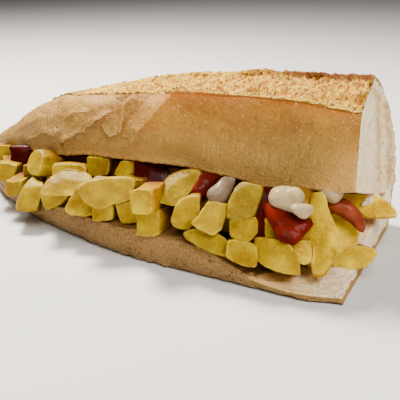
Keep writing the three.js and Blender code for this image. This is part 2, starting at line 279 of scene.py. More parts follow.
def pixels_of(points):
    """Where points fall in the photograph, in its pixels: from its left, and upwards from its top."""
    away = points - EYE
    scale = FOCAL_PIXELS / (away @ -TOWARDS)
    return FRAME_PIXELS / 2 + (away @ RIGHT) * scale, (away @ UP) * scale - FRAME_PIXELS / 2


def traced(pixels, spot, across, up):
    """Where the lines of sight through pixels of the photograph meet the plane through a spot, in steps
    along the plane's two directions."""
    made = []
    for u, v in pixels:
        sight = RIGHT * (u - FRAME_PIXELS / 2) + UP * (FRAME_PIXELS / 2 - v) - TOWARDS * FOCAL_PIXELS
        made.append(np.linalg.solve(np.stack([across, up, -sight], 1), EYE - spot)[:2])
    return np.array(made)


def deselect():
    if bpy.context.mode != "OBJECT":
        bpy.ops.object.mode_set(mode="OBJECT")
    bpy.ops.object.select_all(action="DESELECT")


def activate(*pieces):
    deselect()
    for piece in pieces:
        piece.select_set(True)
    bpy.context.view_layer.objects.active = pieces[0]


def corners(piece):
    """A mesh's vertices, one row each."""
    flat = np.zeros(len(piece.data.vertices) * 3, np.float32)
    piece.data.vertices.foreach_get("co", flat)
    return flat.reshape(-1, 3).astype(float)


def place(piece, points):
    """Puts a mesh's vertices at points of the loaf's own frame."""
    piece.data.vertices.foreach_set("co", ((points + SHIFT) * MM).astype(np.float32).ravel())
    piece.data.update()


def normals(piece):
    flat = np.zeros(len(piece.data.vertices) * 3, np.float32)
    piece.data.vertex_normals.foreach_get("vector", flat)
    return flat.reshape(-1, 3).astype(float)


def keep(piece, name, values):
    """Keeps a number, or a colour's four, for each vertex as an attribute that the material reads."""
    values = np.asarray(values, np.float32)
    kind, field = ("FLOAT", "value") if values.ndim == 1 else ("FLOAT_COLOR", "color")
    made = piece.data.attributes.get(name) or piece.data.attributes.new(name, kind, "POINT")
    made.data.foreach_set(field, values.ravel())


def kept(piece, name):
    """Reads back a number kept for each vertex."""
    values = np.zeros(len(piece.data.vertices), np.float32)
    piece.data.attributes[name].data.foreach_get("value", values)
    return values.astype(float)


def apply(piece, kind, **settings):
    """Adds a modifier with its settings and applies it."""
    activate(piece)
    made = piece.modifiers.new(kind.lower(), kind)
    for name, value in settings.items():
        setattr(made, name, value)
    bpy.ops.object.modifier_apply(modifier=made.name)


def join(name, pieces):
    activate(*pieces)
    bpy.ops.object.join()
    made = bpy.context.object
    made.name = made.data.name = name
    return made


def finish(piece, material, slot, *nodes):
    activate(piece)
    bpy.ops.object.shade_smooth()
    piece.data.materials.clear()
    piece.data.materials.append(material)
    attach(piece, "root")
    if nodes:
        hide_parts(*nodes)


def fractal(points, size, octaves=4):
    """Cloudy noise from about -1 to 1, with lumps of a size in millimetres."""
    return np.array([noise.fractal(Vector(p), 1.0, 2.0, octaves) for p in points / size])


def crinkle(points, size, octaves=4):
    """Sharp-ridged noise from 0 to nearly 2."""
    ridges = noise.ridged_multi_fractal
    return np.array([ridges(Vector(p), 0.9, 2.1, octaves, 1.0, 2.0) for p in points / size])


def pits(points, size):
    """Distance to the nearest of scattered points, in shares of their spacing."""
    return np.array([noise.voronoi(Vector(p))[0][0] for p in points / size])


def only_where(mask, pattern, points, *settings):
    """A pattern's values where a mask has them, and 0 elsewhere."""
    values = np.zeros(len(mask))
    values[mask] = pattern(points[mask], *settings)
    return values


def linear(colour):
    """The linear colour of an sRGB hex value."""
    parts = [int(colour[i : i + 2], 16) / 255 for i in (1, 3, 5)]
    return (*((v / 12.92 if v <= 0.04045 else ((v + 0.055) / 1.055) ** 2.4) for v in parts), 1)


def feed(tree, node, inputs):
    """Gives inputs of a node their values, or links where they are other nodes or their outputs. A node
    stands for the first of its outputs that is in use."""
    for name, value in dict(inputs).items():
        if isinstance(value, bpy.types.Node):
            value = next(output for output in value.outputs if output.enabled)
        if isinstance(value, bpy.types.NodeSocket):
            tree.links.new(value, node.inputs[name])
        else:
            node.inputs[name].default_value = value


def add(tree, kind, inputs=(), stops=(), **settings):
    """Adds a node with its settings, its colour stops and its inputs."""
    made = tree.nodes.new("ShaderNode" + kind)
    for name, value in settings.items():
        setattr(made, name, value)
    for i, (at, colour) in enumerate(stops):
        stop = made.color_ramp.elements[i] if i < 2 else made.color_ramp.elements.new(at)
        stop.position, stop.color = at, linear(colour)
    feed(tree, made, inputs)
    return made


def material(name):
    """A new node material: its tree, and the Principled shader, already linked to the output."""
    made = bpy.data.materials.new(name)
    made.use_nodes = True
    return made, made.node_tree, made.node_tree.nodes["Principled BSDF"]


# Sockets of a Mix node for colours, and for numbers
FACTOR, FIRST, SECOND = 0, 6, 7
FIRST_NUMBER, SECOND_NUMBER = 2, 3


def tinted(tree, colour, layers):
    """A colour with tints laid over it. Each has what drives it, the band over which it comes in, or none
    where it follows its driver straight, then how strong it gets, and its colour."""
    for driver, band, strength, tint in layers:
        low, high = band or (0, 1)
        inputs = {"Value": driver, "From Min": low, "From Max": high, "To Max": strength}
        mask = add(tree, "MapRange", inputs, interpolation_type="SMOOTHSTEP" if band else "LINEAR")
        tint = linear(tint) if isinstance(tint, str) else tint
        colour = add(tree, "Mix", {FACTOR: mask, FIRST: colour, SECOND: tint}, data_type="RGBA")
    return colour


def relief(tree, strength, depth, parts):
    """A bump of a depth in millimetres. Each of its parts has a pattern, where it is and how high it is."""
    height = 0.0
    for pattern, where, high in parts:
        part = add(tree, "Math", {0: pattern, 1: high}, operation="MULTIPLY")
        height = add(tree, "Math", {0: part, 1: where, 2: height}, operation="MULTIPLY_ADD")
    return add(tree, "Bump", {"Height": height, "Strength": strength, "Distance": depth * MM})


def baked_bread():
    """Baked crust and torn crumb of a white loaf: matt, golden and speckled outside, with a burst strip
    that is rough and pale, and off-white and porous where it was cut."""
    made, tree, shader = material("bread_baked_crust_and_crumb")
    spot = add(tree, "TexCoord").outputs["Object"]
    zones = add(tree, "Attribute", attribute_name="zones")
    crumb, bloom, brown = add(tree, "SeparateColor", {"Color": zones}).outputs[:3]
    names = ("coarse", "pale", "dull", "floury", "painted_lightness", "crease", "creased", "toasted", "wrinkle")
    coarse, pale, dull, floury, painted_lightness, crease, creased, toasted, wrinkle = (
        add(tree, "Attribute", attribute_name=name).outputs["Fac"] for name in names
    )
    upright = add(tree, "Mapping", {"Vector": spot, "Scale": (1, 1, 7)}, vector_type="TEXTURE")
    lying = {"Vector": spot, "Rotation": (0, 0, math.radians(100)), "Scale": (3.8, 1, 1)}
    along_fibres = add(tree, "Mapping", lying, vector_type="TEXTURE")
    # Size in millimetres, detail and roughness of each grain. Flecks under a millimetre across are drawn a
    # little coarser, so that they show.
    grain = {
        name: add(
            tree, "TexNoise", {"Vector": at, "Scale": 1 / (size * MM), "Detail": detail, "Roughness": rough}
        )
        for name, size, detail, rough, at in [
            ("bake", 22, 4, 0.6, spot),
            ("patches", 11, 2, 0.6, spot),
            ("medium", 5, 4, 0.6, spot),
            ("speckle", 0.9, 3, 0.6, spot),
            ("streaks", 0.9, 2, 0.6, upright),
            ("dusting", 1.6, 4, 0.6, spot),
            ("golden", 1.0, 2, 0.6, spot),
            ("scorched", 1.2, 2, 0.6, spot),
            ("flour", 1.5, 2, 0.6, spot),
            ("torn", 0.7, 3, 0.7, spot),
            ("grit", 1.5, 4, 0.7, spot),
            ("fibres", 1.1, 2.5, 0.6, along_fibres),
            ("fluff", 0.9, 3, 0.7, spot),
            ("burnt", 1.7, 2, 0.6, spot),
        ]
    }
    medium = grain["medium"]
    pores = add(tree, "TexVoronoi", {"Vector": spot, "Scale": 1 / (2.4 * MM)})
    flour_dust, painted_crease_light_and_shade = (
        add(tree, "Math", {0: where, 1: much}, operation="MULTIPLY")
        for where, much in ((floury, 0.3), (creased, 0.6))
    )
    patchy, rim, shade, fresh, ledge, step = (
        add(
            tree, "MapRange", {"Value": driver, "From Min": low, "From Max": high, "To Max": strength},
            interpolation_type="SMOOTHSTEP",
        )
        for driver, low, high, strength in [
            (grain["patches"], 0.46, 0.58, dull),
            # A painted highlight along each crease, partly its own paler skin, then painted shade below it
            (crease, 1.0, 0.4, painted_crease_light_and_shade),
            (crease, 0.15, -0.15, painted_crease_light_and_shade),
            (medium, 0.4, 0.6, 1),
            (crease, 3.0, 0.2, creased),
            (crease, -0.2, 0.2, 1),
        ]
    )
    dark_streaks = add(tree, "Math", {0: patchy, 1: 0.7}, operation="MULTIPLY")
    # Crust: brown mottling about 20 mm across, then duller, paler, browner and floury places, some of the
    # paler and browner ones painted light and shade, thin skin with a pale edge half a millimetre wide along
    # each crease, partly a painted highlight, and painted shade below it, and flecks
    crust = add(tree, "ValToRGB", {"Fac": grain["bake"]}, [
        (0.38, "#8e5a16"), (0.62, "#b4842c"), (0.5, "#a27022"),
    ])
    crust = tinted(tree, crust, [
        (medium, (0.4, 0.7), 0.5, "#a87a2c"),
        (dull, (), 1, "#a0803e"),
        (grain["streaks"], (0.52, 0.68), patchy, "#c49c54"),
        (grain["streaks"], (0.46, 0.34), dark_streaks, "#7c561e"),
        (pale, (), 1, "#cc9c50"),
        (brown, (), 1, "#b05a06"),
        (grain["dusting"], (0.36, 0.62), flour_dust, "#d8a864"),
        (crease, (-0.1, 0.2), rim, "#deb474"),
        (crease, (-6.0, -0.3), shade, "#744812"),
        (grain["golden"], (0.5, 0.7), 0.5, "#bc8c3e"),
        (grain["scorched"], (0.56, 0.72), 0.5, "#6e4010"),
        (grain["flour"], (0.64, 0.72), 0.45, "#dcb87e"),
    ])
    # Painted light and shade on the crust: its lightness, set point by point
    crust = add(tree, "HueSaturation", {"Color": crust, "Value": painted_lightness})
    # Lower half: skin that was torn from the tin, duller and full of grains
    torn_skin = add(
        tree, "ValToRGB", {"Fac": grain["torn"]}, [(0.3, "#5a401e"), (0.72, "#b89c72"), (0.5, "#84663c")]
    )
    crust = tinted(tree, crust, [
        (coarse, (), 0.6, torn_skin),
        (grain["flour"], (0.62, 0.7), coarse, "#5e3c18"),
    ])
    # Burst strip: torn fibres a millimetre across and four long, cream on their crests and toasted between,
    # partly a painted highlight on the crests and painted shade between them
    fibre = add(tree, "Mix", {FACTOR: 0.18, FIRST_NUMBER: grain["fibres"], SECOND_NUMBER: grain["fluff"]})
    burst = add(tree, "ValToRGB", {"Fac": fibre}, [
        (0.35, "#78460e"), (0.63, "#ffda50"), (0.45, "#be781c"), (0.53, "#e2a02a"),
    ])
    burst = tinted(tree, burst, [
        (fibre, (0.34, 0.46), floury, "#ffdf5a"),
        (grain["burnt"], (0.66, 0.72), 0.7, "#6a3c10"),
        (brown, (), 0.9, "#6c3008"),
    ])
    # Crumb: off-white with faint cream patches, toasted where it met the tin, browner in the folds and low on
    # the cut face, partly as painted shade, and pores of about 1 mm, darker inside as painted shade
    pore = add(
        tree, "MapRange", {"Value": pores, "From Min": 0.34, "From Max": 0.16, "To Max": fresh},
        interpolation_type="SMOOTHSTEP",
    )
    white = add(tree, "ValToRGB", {"Fac": medium}, [(0.33, "#f0d09a"), (0.7, "#fff4d8"), (0.5, "#fde6ba")])
    white = tinted(tree, white, [
        (pore, (), 0.45, "#b08c58"),
        (toasted, (), 1, "#eab868"),
        (brown, (), 0.75, "#b88c50"),
    ])
    # Burst strip and crumb each start along a ragged line
    torn_from, cut_from = (
        add(tree, "Math", {0: ragged, 1: much, 2: zone}, operation="MULTIPLY_ADD")
        for ragged, much, zone in ((grain["speckle"], 0.6, bloom), (medium, 0.5, crumb))
    )
    colour = tinted(tree, crust, [(torn_from, (0.68, 0.92), 1, burst), (cut_from, (0.6, 0.9), 1, white)])
    # Thin skin that folded over itself: steps that follow the lines of a slow noise
    slow = add(tree, "TexNoise", {"Vector": spot, "Scale": 1 / (17 * MM), "Detail": 3.0, "Distortion": 0.6})
    flakes = add(tree, "ValToRGB", {"Fac": slow}, [
        (0.40, "#000000"), (0.58, "#ffffff"), (0.405, "#8a8a8a"), (0.46, "#6a6a6a"), (0.465, "#bcbcbc"),
        (0.52, "#9a9a9a"), (0.525, "#e0e0e0"),
    ])
    soft = add(tree, "Math", {0: crumb, 1: bloom}, operation="ADD")
    feed(tree, shader, {
        "Base Color": colour,
        "Normal": relief(tree, 0.9, 0.9, [
            (grain["speckle"], 1, 0.85),
            (flakes, wrinkle, 1.6),
            (step, ledge, 1),
            (grain["grit"], coarse, 1.6),
            (fibre, bloom, 6),
            (pore, crumb, -0.9),
        ]),
        "Roughness": add(tree, "Math", {0: soft, 1: 0.3, 2: 0.52}, operation="MULTIPLY_ADD"),
        "IOR": 1.45,
        "Specular IOR Level": 0.2,
    })
    return made


def fried_potato():
    """Thick-cut potato, deep fried: a thin, slightly oily skin over a soft translucent middle, paler and
    grainy along its edges and at its sliced ends. Its colour also carries painted light and shade: each fry
    lighter or darker as a whole, and browner and maroon further into the heap, the maroon partly ketchup."""
    made, tree, shader = material("potato_deep_fried")
    spot = add(tree, "TexCoord").outputs["Object"]
    edge, tone, ketchup_and_shade, shade = (
        add(tree, "Attribute", attribute_name=name).outputs["Fac"]
        for name in ("edge", "tone", "ketchup_and_shade", "shade")
    )
    grain = {
        size: add(tree, "TexNoise", {"Vector": spot, "Scale": 1 / (size * MM), "Detail": 3.0})
        for size in (7, 5, 3, 2.6, 1.1, 0.8)
    }
    # Paler along the edges and corners
    paler_edges = add(tree, "Math", {0: edge, 1: 0.6}, operation="MULTIPLY")
    colour = add(tree, "ValToRGB", {"Fac": grain[7]}, [
        (0.36, "#947400"), (0.64, "#baa000"), (0.5, "#a68900"),
    ])
    colour = tinted(tree, colour, [
        (tone, (), 0.9, "#805000"),
        (grain[3], (0.42, 0.62), paler_edges, "#d0b840"),
        (grain[1.1], (0.48, 0.66), 0.25, "#c6ac08"),
        (grain[0.8], (0.5, 0.36), 0.2, "#805a00"),
        (grain[5], (0.5, 0.8), 0.2, "#945c00"),
    ])
    # Painted light and shade: each piece lighter or darker as a whole, partly also how deeply it was cooked
    colour = add(tree, "HueSaturation", {"Color": colour, "Value": shade})
    feed(tree, shader, {
        # Maroon from ketchup and from painted shade deeper in the heap
        "Base Color": tinted(tree, colour, [(ketchup_and_shade, (), 1, "#5e1004")]),
        "Normal": relief(tree, 0.4, 0.4, [(grain[0.8], 1, 1), (grain[2.6], 1, 1.2)]),
        "Roughness": 0.42,
        "IOR": 1.45,
        "Specular IOR Level": 0.08,
        "Subsurface Weight": 0.08,
        "Subsurface Radius": (1.0, 0.6, 0.2),
        "Subsurface Scale": 3 * MM,
    })
    return made


def squeezed_sauce(name, thin, thick, radius, roughness, coat, glow, shade_further_in=0.0):
    """A smooth wet sauce as it was squeezed: glossy, with light that goes a little way in, and darker further
    inside the mouth, as painted shade under the upper lip."""
    made, tree, shader = material(name)
    spot = add(tree, "TexCoord").outputs["Object"]
    cloud, ripple = (
        add(tree, "TexNoise", {"Vector": spot, "Scale": 1 / (size * MM), "Detail": 2.0}) for size in (9, 3)
    )
    colour = add(tree, "ValToRGB", {"Fac": cloud}, [(0.36, thick), (0.66, thin)])
    # Painted shade: darker further inside the mouth
    inwards = add(tree, "SeparateXYZ", {"Vector": spot}).outputs["Y"]
    inwards = add(tree, "MapRange", {"Value": inwards, "From Min": -33 * MM, "From Max": -22 * MM})
    feed(tree, shader, {
        "Base Color": tinted(tree, colour, [(inwards, (), shade_further_in, "#300300")]),
        "Normal": relief(tree, 0.15, 0.5, [(ripple, 1, 1)]),
        "Roughness": roughness,
        "IOR": 1.4,
        "Specular IOR Level": 0.03,
        "Coat Weight": coat,
        "Coat Roughness": 0.04,
        "Subsurface Weight": glow,
        "Subsurface Radius": radius,
        "Subsurface Scale": 3 * MM,
    })
    return made


BREAD = baked_bread()
POTATO = fried_potato()
RED_GLOW, CREAM_GLOW, BROWN_GLOW = (1.0, 0.12, 0.06), (1.0, 0.75, 0.45), (1.0, 0.6, 0.4)
KETCHUP, THIN_KETCHUP_PAINTED_LIGHTER, MAYONNAISE, MAYONNAISE_PAINTED_SHADE = (squeezed_sauce(*values) for values in (
    # The wet ketchup is darker further inside the mouth, as painted shade
    ("ketchup_wet", "#6a1606", "#480a02", RED_GLOW, 0.45, 0.06, 0.05, 0.9),
    # A lighter copy for the thin ketchup at the cut end: a thin layer, and painted light
    ("ketchup_thin_painted_lighter", "#904426", "#702a16", RED_GLOW, 0.5, 0.12, 0.05),
    ("mayonnaise_creamy", "#b39d75", "#9c865e", CREAM_GLOW, 0.5, 0.2, 0.2),
    # A darker copy for the drop under the upper lip and the smear: painted shade
    ("mayonnaise_painted_in_shade", "#8a7761", "#685442", BROWN_GLOW, 0.5, 0.15, 0.2),
))
SAUCE_COATS = {
    "ketchup": KETCHUP,
    "ketchup_end": THIN_KETCHUP_PAINTED_LIGHTER,
    "mayonnaise": MAYONNAISE,
    "mayonnaise_drop": MAYONNAISE_PAINTED_SHADE,
    "mayonnaise_smear": MAYONNAISE_PAINTED_SHADE,
}


# Creases of the crust on the front of the upper half: thin skin that lifted and folded over itself. Each
# stands proud on the left of its line, which is given by pixels of the photograph, with how strong it is.
CREASES = [
    ([(62, 141), (72, 138), (77, 134), (85, 133), (87, 127), (92, 126), (97, 121), (103, 119),
      (109, 113)], 1.0),
    ([(102, 126), (106, 132), (111, 137), (117, 135), (118, 131), (121, 134), (122, 125), (124, 120)], 1.0),
    ([(30, 138), (37, 136), (42, 133), (49, 133), (55, 137), (58, 132)], 0.7),
    ([(66, 119), (72, 115), (77, 113), (86, 113)], 0.5),
    ([(131, 96), (125, 102), (121, 110), (122, 117)], 0.8),
    ([(136, 142), (140, 136), (142, 130), (147, 128)], 0.5),
    ([(20, 128), (27, 124), (34, 123), (40, 119)], 0.35),
    ([(150, 140), (156, 134), (163, 133)], 0.3),
]
CREASE_DEEP = 0.4
MM_PER_PIXEL = 0.51
# To the right of this line the front stands proud, as the dough swelled there
SWELL_LINE = [(142, 131), (145, 128), (152, 120.5), (159, 112.5), (166.5, 104), (175, 95)]
SWELL_PROUD = 3.0
SWELL_REACH = 45
SWELL_SLOPE = 9
# Where torn crumb folds back down the cut face, by pixels of the photograph
FOLDS = [
    ([(374, 88), (380, 100), (381, 125), (382, 150), (380, 182)], 1.3),
    ([(385, 104), (388, 120), (390, 145), (388, 182)], 1.0),
]
FOLD_ENDS = 4  # how far the folds fade out past their ends
LIP_CURL = (-0.4, 1.4)  # how far down the upper lip curls, left and right of its middle
TIP_CURL, SAG_CURL, SAG_CURL_REACH = 1.9, 1.6, 9  # and more towards the tip, and where it hangs lowest
CURL_REACH = 6
VALLEY = (-3, 20, 1.3)  # the ridge dips between these places, by this much
TIP_SLIM = (0.46, -66)  # the upper half is flatter towards its tip, by this share, from this place on
# Unevenness of the dough, crust and crumb: sizes of the patterns, then how high or deep they are
DOUGH_WAVES, DOUGH_GRAIN = 12, 3
CRUMPLES, CRUMPLE_MEAN = 3.2, 0.9
CRUMPLE_HIGH, CRUMPLE_ROUGH = 1.7, 0.45
CRUST_WAVY, CRUST_ROUGH = 0.12, 0.07
CUT_RIM_RAGGED = 0.9
WRINKLES, WRINKLE_HIGH = 16, 0.5
LIP_RAGGED = 0.55
FRONT_HOLES, FRONT_HOLE_DEEP, FRONT_ROUGH = 2.6, 0.45, 0.3
FOOT_WAVY, FOOT_ROUGH = 0.5, 0.3
CRUMB_HOLES, CRUMB_HOLE_DEEP, CRUMB_ROUGH = 3.2, 0.3, 0.22
LEDGE_WAVY, LEDGE_ROUGH = 1.0, 0.4
CUT_FIBRES, CUT_FIBRE_HIGH = 1.6, 0.3
CORNER_ROUND, CORNER_REACH = 4.5, 9  # the lower half's corner at the cut
UPPER_TALL = 34  # from the upper lip to the ridge, about
MOUTH_ROUND = 130  # from the lower lip round the slit's end to the upper lip, about
NEAR = 1e-4
FAR = 99.0


def line_side(x, z, line):
    """Signed distance to a line, positive on the left of its way, and how far a point is past its ends."""
    best = np.full(x.shape, 1e9)
    signed = np.zeros(x.shape)
    past = np.zeros(x.shape)
    last = len(line) - 2
    for i, ((x0, z0), (x1, z1)) in enumerate(zip(line, line[1:])):
        dx, dz = x1 - x0, z1 - z0
        raw = ((x - x0) * dx + (z - z0) * dz) / (dx * dx + dz * dz)
        t = np.clip(raw, 0, 1)
        away = np.hypot(x - x0 - t * dx, z - z0 - t * dz)
        side = np.sign(dx * (z - z0) - dz * (x - x0))
        over = np.maximum(-raw * (i == 0), (raw - 1) * (i == last)) * math.hypot(dx, dz)
        nearer = away < best
        best = np.where(nearer, away, best)
        signed = np.where(nearer, side * away, signed)
        past = np.where(nearer, np.maximum(over, 0), past)
    return signed, past


def seen_line(points, line):
    """Distance in millimetres, as the photograph shows it, to a line given by its pixels."""
    u, v = pixels_of(points)
    signed, past = line_side(u, v, [(pu, -pv) for pu, pv in line])
    return signed * MM_PER_PIXEL, past * MM_PER_PIXEL


def creases(points):
    """Distance to the nearest crease, and how strong it is there."""
    ragged = points + 0.5 * np.stack([fractal(points + shift, 4, 2) for shift in (0, 40, 80)], -1)
    nearest = np.full(len(points), 12.0)
    strength = np.zeros(len(points))
    for line, strong in CREASES:
        signed, past = seen_line(ragged, line)
        closer = np.abs(signed) + 3 * past < np.abs(nearest)
        nearest = np.where(closer, signed, nearest)
        strength = np.where(closer, strong * hump(past, 0, 1.5), strength)
    return nearest, strength


# The loaf's mesh: places along it, closest over the creased part, round it and through its thickness
LOAF_X = np.concatenate([
    np.linspace(TIP_X, -88, 26)[:-1], np.linspace(-88, 26, 181)[:-1], np.linspace(26, CUT_X, 60)
])
LOAF_AROUND = np.concatenate([
    np.linspace(0, 0.15, 33)[:-1], np.linspace(0.15, BASE_END, 8)[:-1],
    np.linspace(BASE_END, BACK_END, 49)[:-1], np.linspace(BACK_END, 1, 31)
])
LOAF_DEPTH = np.linspace(0, 1, 49)


def loaf_side(x, around, depth):
    """One side of the loaf: a flat grid bent to where the loaf's shape has it."""
    along, across = [v for v in (x, around, depth) if np.ndim(v)]
    bpy.ops.mesh.primitive_grid_add(x_subdivisions=len(along) - 1, y_subdivisions=len(across) - 1, size=1)
    side = bpy.context.object
    flat = corners(side)
    i = np.rint((flat[:, 0] + 0.5) * (len(along) - 1)).astype(int)
    j = np.rint((flat[:, 1] + 0.5) * (len(across) - 1)).astype(int)
    picks = iter((i, j))
    x, around, depth = (
        v[next(picks)] if np.ndim(v) else np.full(len(flat), float(v)) for v in (x, around, depth)
    )
    place(side, loaf(x, around, depth))
    for name, values in (("at_x", x), ("at_around", around), ("at_depth", depth)):
        keep(side, name, values)
    return side


def loaf_mesh():
    """The loaf's six sides, joined and welded into one closed skin."""
    deselect()
    bread = join("bread_loaf", [
        loaf_side(LOAF_X, LOAF_AROUND, 0),
        loaf_side(LOAF_X, LOAF_AROUND, 1),
        loaf_side(LOAF_X, 0, LOAF_DEPTH),
        loaf_side(LOAF_X, 1, LOAF_DEPTH),
        loaf_side(TIP_X, LOAF_AROUND, LOAF_DEPTH),
        loaf_side(CUT_X, LOAF_AROUND, LOAF_DEPTH),
    ])
    bpy.ops.object.mode_set(mode="EDIT")
    bpy.ops.mesh.select_all(action="SELECT")
    bpy.ops.mesh.remove_doubles(threshold=0.004 * MM)
    bpy.ops.mesh.normals_make_consistent(inside=False)
    bpy.ops.object.mode_set(mode="OBJECT")
    return bread


def places_on(bread):
    """Where each point of the bread is, and the patterns that both its shape and its colours follow."""
    points = corners(bread) / MM - SHIFT
    x, around, depth = (kept(bread, name) for name in ("at_x", "at_around", "at_depth"))
    s = station(x)
    front, edge, cut = around > 1 - NEAR, around < NEAR, x > CUT_X - 0.01
    inside, outside = ((there & ~front & ~edge) for there in (depth > 1 - NEAR, depth < NEAR))
    up = np.where(front, 1 - depth, 0)
    wavy, rough = fractal(points, DOUGH_WAVES, 3), fractal(points, DOUGH_GRAIN, 4)

    # The burst strip, and the thin lick of it that runs ahead on the front
    at_split = share(around, BACK_END + 0.012, BACK_END + 0.03)
    bloom = outside * at_split * s.split**0.6 * ease(-66, -46, x)
    bloom = np.where(front & (depth < 0.02), 0.5 * s.split, bloom)
    ahead = ease(0.9, 0.93, up + 0.012 * rough) * ease(-70, -63, x) * fall(-46, -36, x)
    bloom = np.maximum(bloom, ahead * front)

    # Distances: on the cut face to the crust around it and to its folds, on the front to the nearest crease
    # and to the line where it swells
    rim = np.concatenate([
        loaf(CUT_X, LOAF_AROUND, 0), loaf(CUT_X, 1, LOAF_DEPTH), loaf(CUT_X, 0, LOAF_DEPTH)
    ])
    from_rim = np.full(len(x), FAR)
    from_rim[cut] = [np.hypot(*(rim[:, 1:] - p[1:]).T).min() for p in points[cut]]
    fold_lines = [seen_line(points[cut] + 0.5 * wavy[cut, None], line) for line, _ in FOLDS]
    crease, creased, swell = np.full(len(x), 12.0), np.zeros(len(x)), np.zeros(len(x))
    crease[front], creased[front] = creases(points[front])
    swell[front] = seen_line(points[front], SWELL_LINE)[0]
    return SimpleNamespace(
        points=points, x=x, around=around, depth=depth, s=s, up=up, wavy=wavy, rough=rough, bloom=bloom,
        front=front, edge=edge, cut=cut, inside=inside, outside=outside,
        from_rim=from_rim, fold_lines=fold_lines, crease=crease, creased=creased, swell=swell,
        crests=only_where(bloom > 0.02, crinkle, points * [1, 0.5, 1], CRUMPLES),
        fibres=only_where(cut, fractal, points * [1, 1, 0.12], CUT_FIBRES, 3),
    )


def crust_lift(at):
    """How far the crust's unevenness moves each point outwards."""
    x, up, s, front, wavy, rough = at.x, at.up, at.s, at.front, at.wavy, at.rough
    onto_ridge = np.where(front, 0.8, 1 - 0.6 * share(at.around, 0.985, 1))
    lift = at.bloom * onto_ridge * (CRUMPLE_HIGH * (at.crests - CRUMPLE_MEAN) + CRUMPLE_ROUGH * rough)
    flanks = (front | (at.outside & (at.around < BACK_END))) & ~at.cut
    rest = ease(2, 8, at.points[:, 2] - s.floor)
    lift += flanks * rest * (CRUST_WAVY * wavy + CRUST_ROUGH * rough)
    behind = ease(98, CUT_X, x) * ease(8, 24, at.points[:, 1])
    lift += (at.outside | at.cut) * rest * behind * CUT_RIM_RAGGED * rough
    # Creases, the swell of the front and the wrinkled skin towards the tip
    along = np.where(at.crease > 0, np.exp(-at.crease / 3.5), np.exp(at.crease / 0.3))
    lift += CREASE_DEEP * at.creased * along * front
    fade = np.exp(-np.maximum(x - 15, 0) / SWELL_REACH) * ease(0.05, 0.35, up)
    lift += SWELL_PROUD * front * fade * (1 - share(at.swell, 0, SWELL_SLOPE))
    folds = only_where(front & (x < 5), crinkle, at.points * [1, 1, 1.6], WRINKLES, 3)
    lift += WRINKLE_HIGH * folds * fall(-25, 5, x) * ease(0.02, 0.2, up) * fall(0.75, 1, up)
    valley_from, valley_to, valley_deep = VALLEY
    valley = np.sin(np.pi * share(x, valley_from, valley_to)) ** 2
    at_ridge = front * ease(0.75, 1, up) + (at.bloom > 0) * ease(0.93, 1, at.around)
    lift -= valley_deep * valley * at_ridge * (~at.cut)
    # Both lips are ragged, the lower half's front is full of holes, and its foot is uneven
    lip = hump((1 - at.depth) * 40, 0, 1.2) * front + hump((1 - at.depth) * 6, 0, 1) * at.edge
    lift += LIP_RAGGED * rough * lip
    holes = only_where(at.edge, pits, at.points, FRONT_HOLES)
    lift += at.edge * (FRONT_ROUGH * rough - FRONT_HOLE_DEEP * fall(0.12, 0.4, holes))
    lift += at.edge * (FOOT_WAVY * wavy + FOOT_ROUGH * rough) * hump(at.depth * 9, 0, 1)
    return lift


def crumb_lift(at):
    """The same for the crumb: holes, lumps on the ledge, and fibres and folds down the cut face."""
    soft = at.inside | (at.cut & (at.from_rim > 0.5))
    holes = only_where(soft, pits, at.points, CRUMB_HOLES)
    lift = soft * (CRUMB_ROUGH * at.rough - CRUMB_HOLE_DEEP * fall(0.1, 0.42, holes))
    ledge = ease(66, 84, at.x) * at.inside * (at.around < 0.3)
    lift += ledge * (LEDGE_WAVY * at.wavy + LEDGE_ROUGH * at.rough)
    lift += CUT_FIBRE_HIGH * at.fibres * ease(0.4, 1.5, at.from_rim) * at.cut
    inwards = ease(0.3, 2.0, at.from_rim[at.cut])
    for (signed, past), (_, deep) in zip(at.fold_lines, FOLDS):
        lift[at.cut] -= deep * ease(-0.3, 0.5, -signed) * hump(past, 0, FOLD_ENDS) * inwards
    return lift


def bend(at):
    """Curls the upper lip down, flattens the tip and rounds the lower half's corner at the cut."""
    x, s, points = at.x, at.s, at.points
    curl = lerp(*LIP_CURL, ease(18, 50, x)) + TIP_CURL * fall(-45, -25, x)
    curl += SAG_CURL * hump(x, LIP_SAG[0], SAG_CURL_REACH)
    from_lip = np.where(at.front, at.up * UPPER_TALL, np.where(at.inside, (1 - at.around) * MOUTH_ROUND, FAR))
    curl *= hump(from_lip, 0, CURL_REACH) * ease(-95, -70, x) * fall(94, CUT_X, x)
    slim, slim_from = TIP_SLIM
    above = np.maximum(points[:, 2] - s.upper_lip[1], 0)
    points[:, 2] = np.maximum(points[:, 2] - curl - slim * above * fall(TIP_X, slim_from, x), 0)
    corner = ease(86, CUT_X, x) * (1 - share(points[:, 1], s.front, s.front + CORNER_REACH))
    points[:, 1] += CORNER_ROUND * corner * (points[:, 2] < 12)


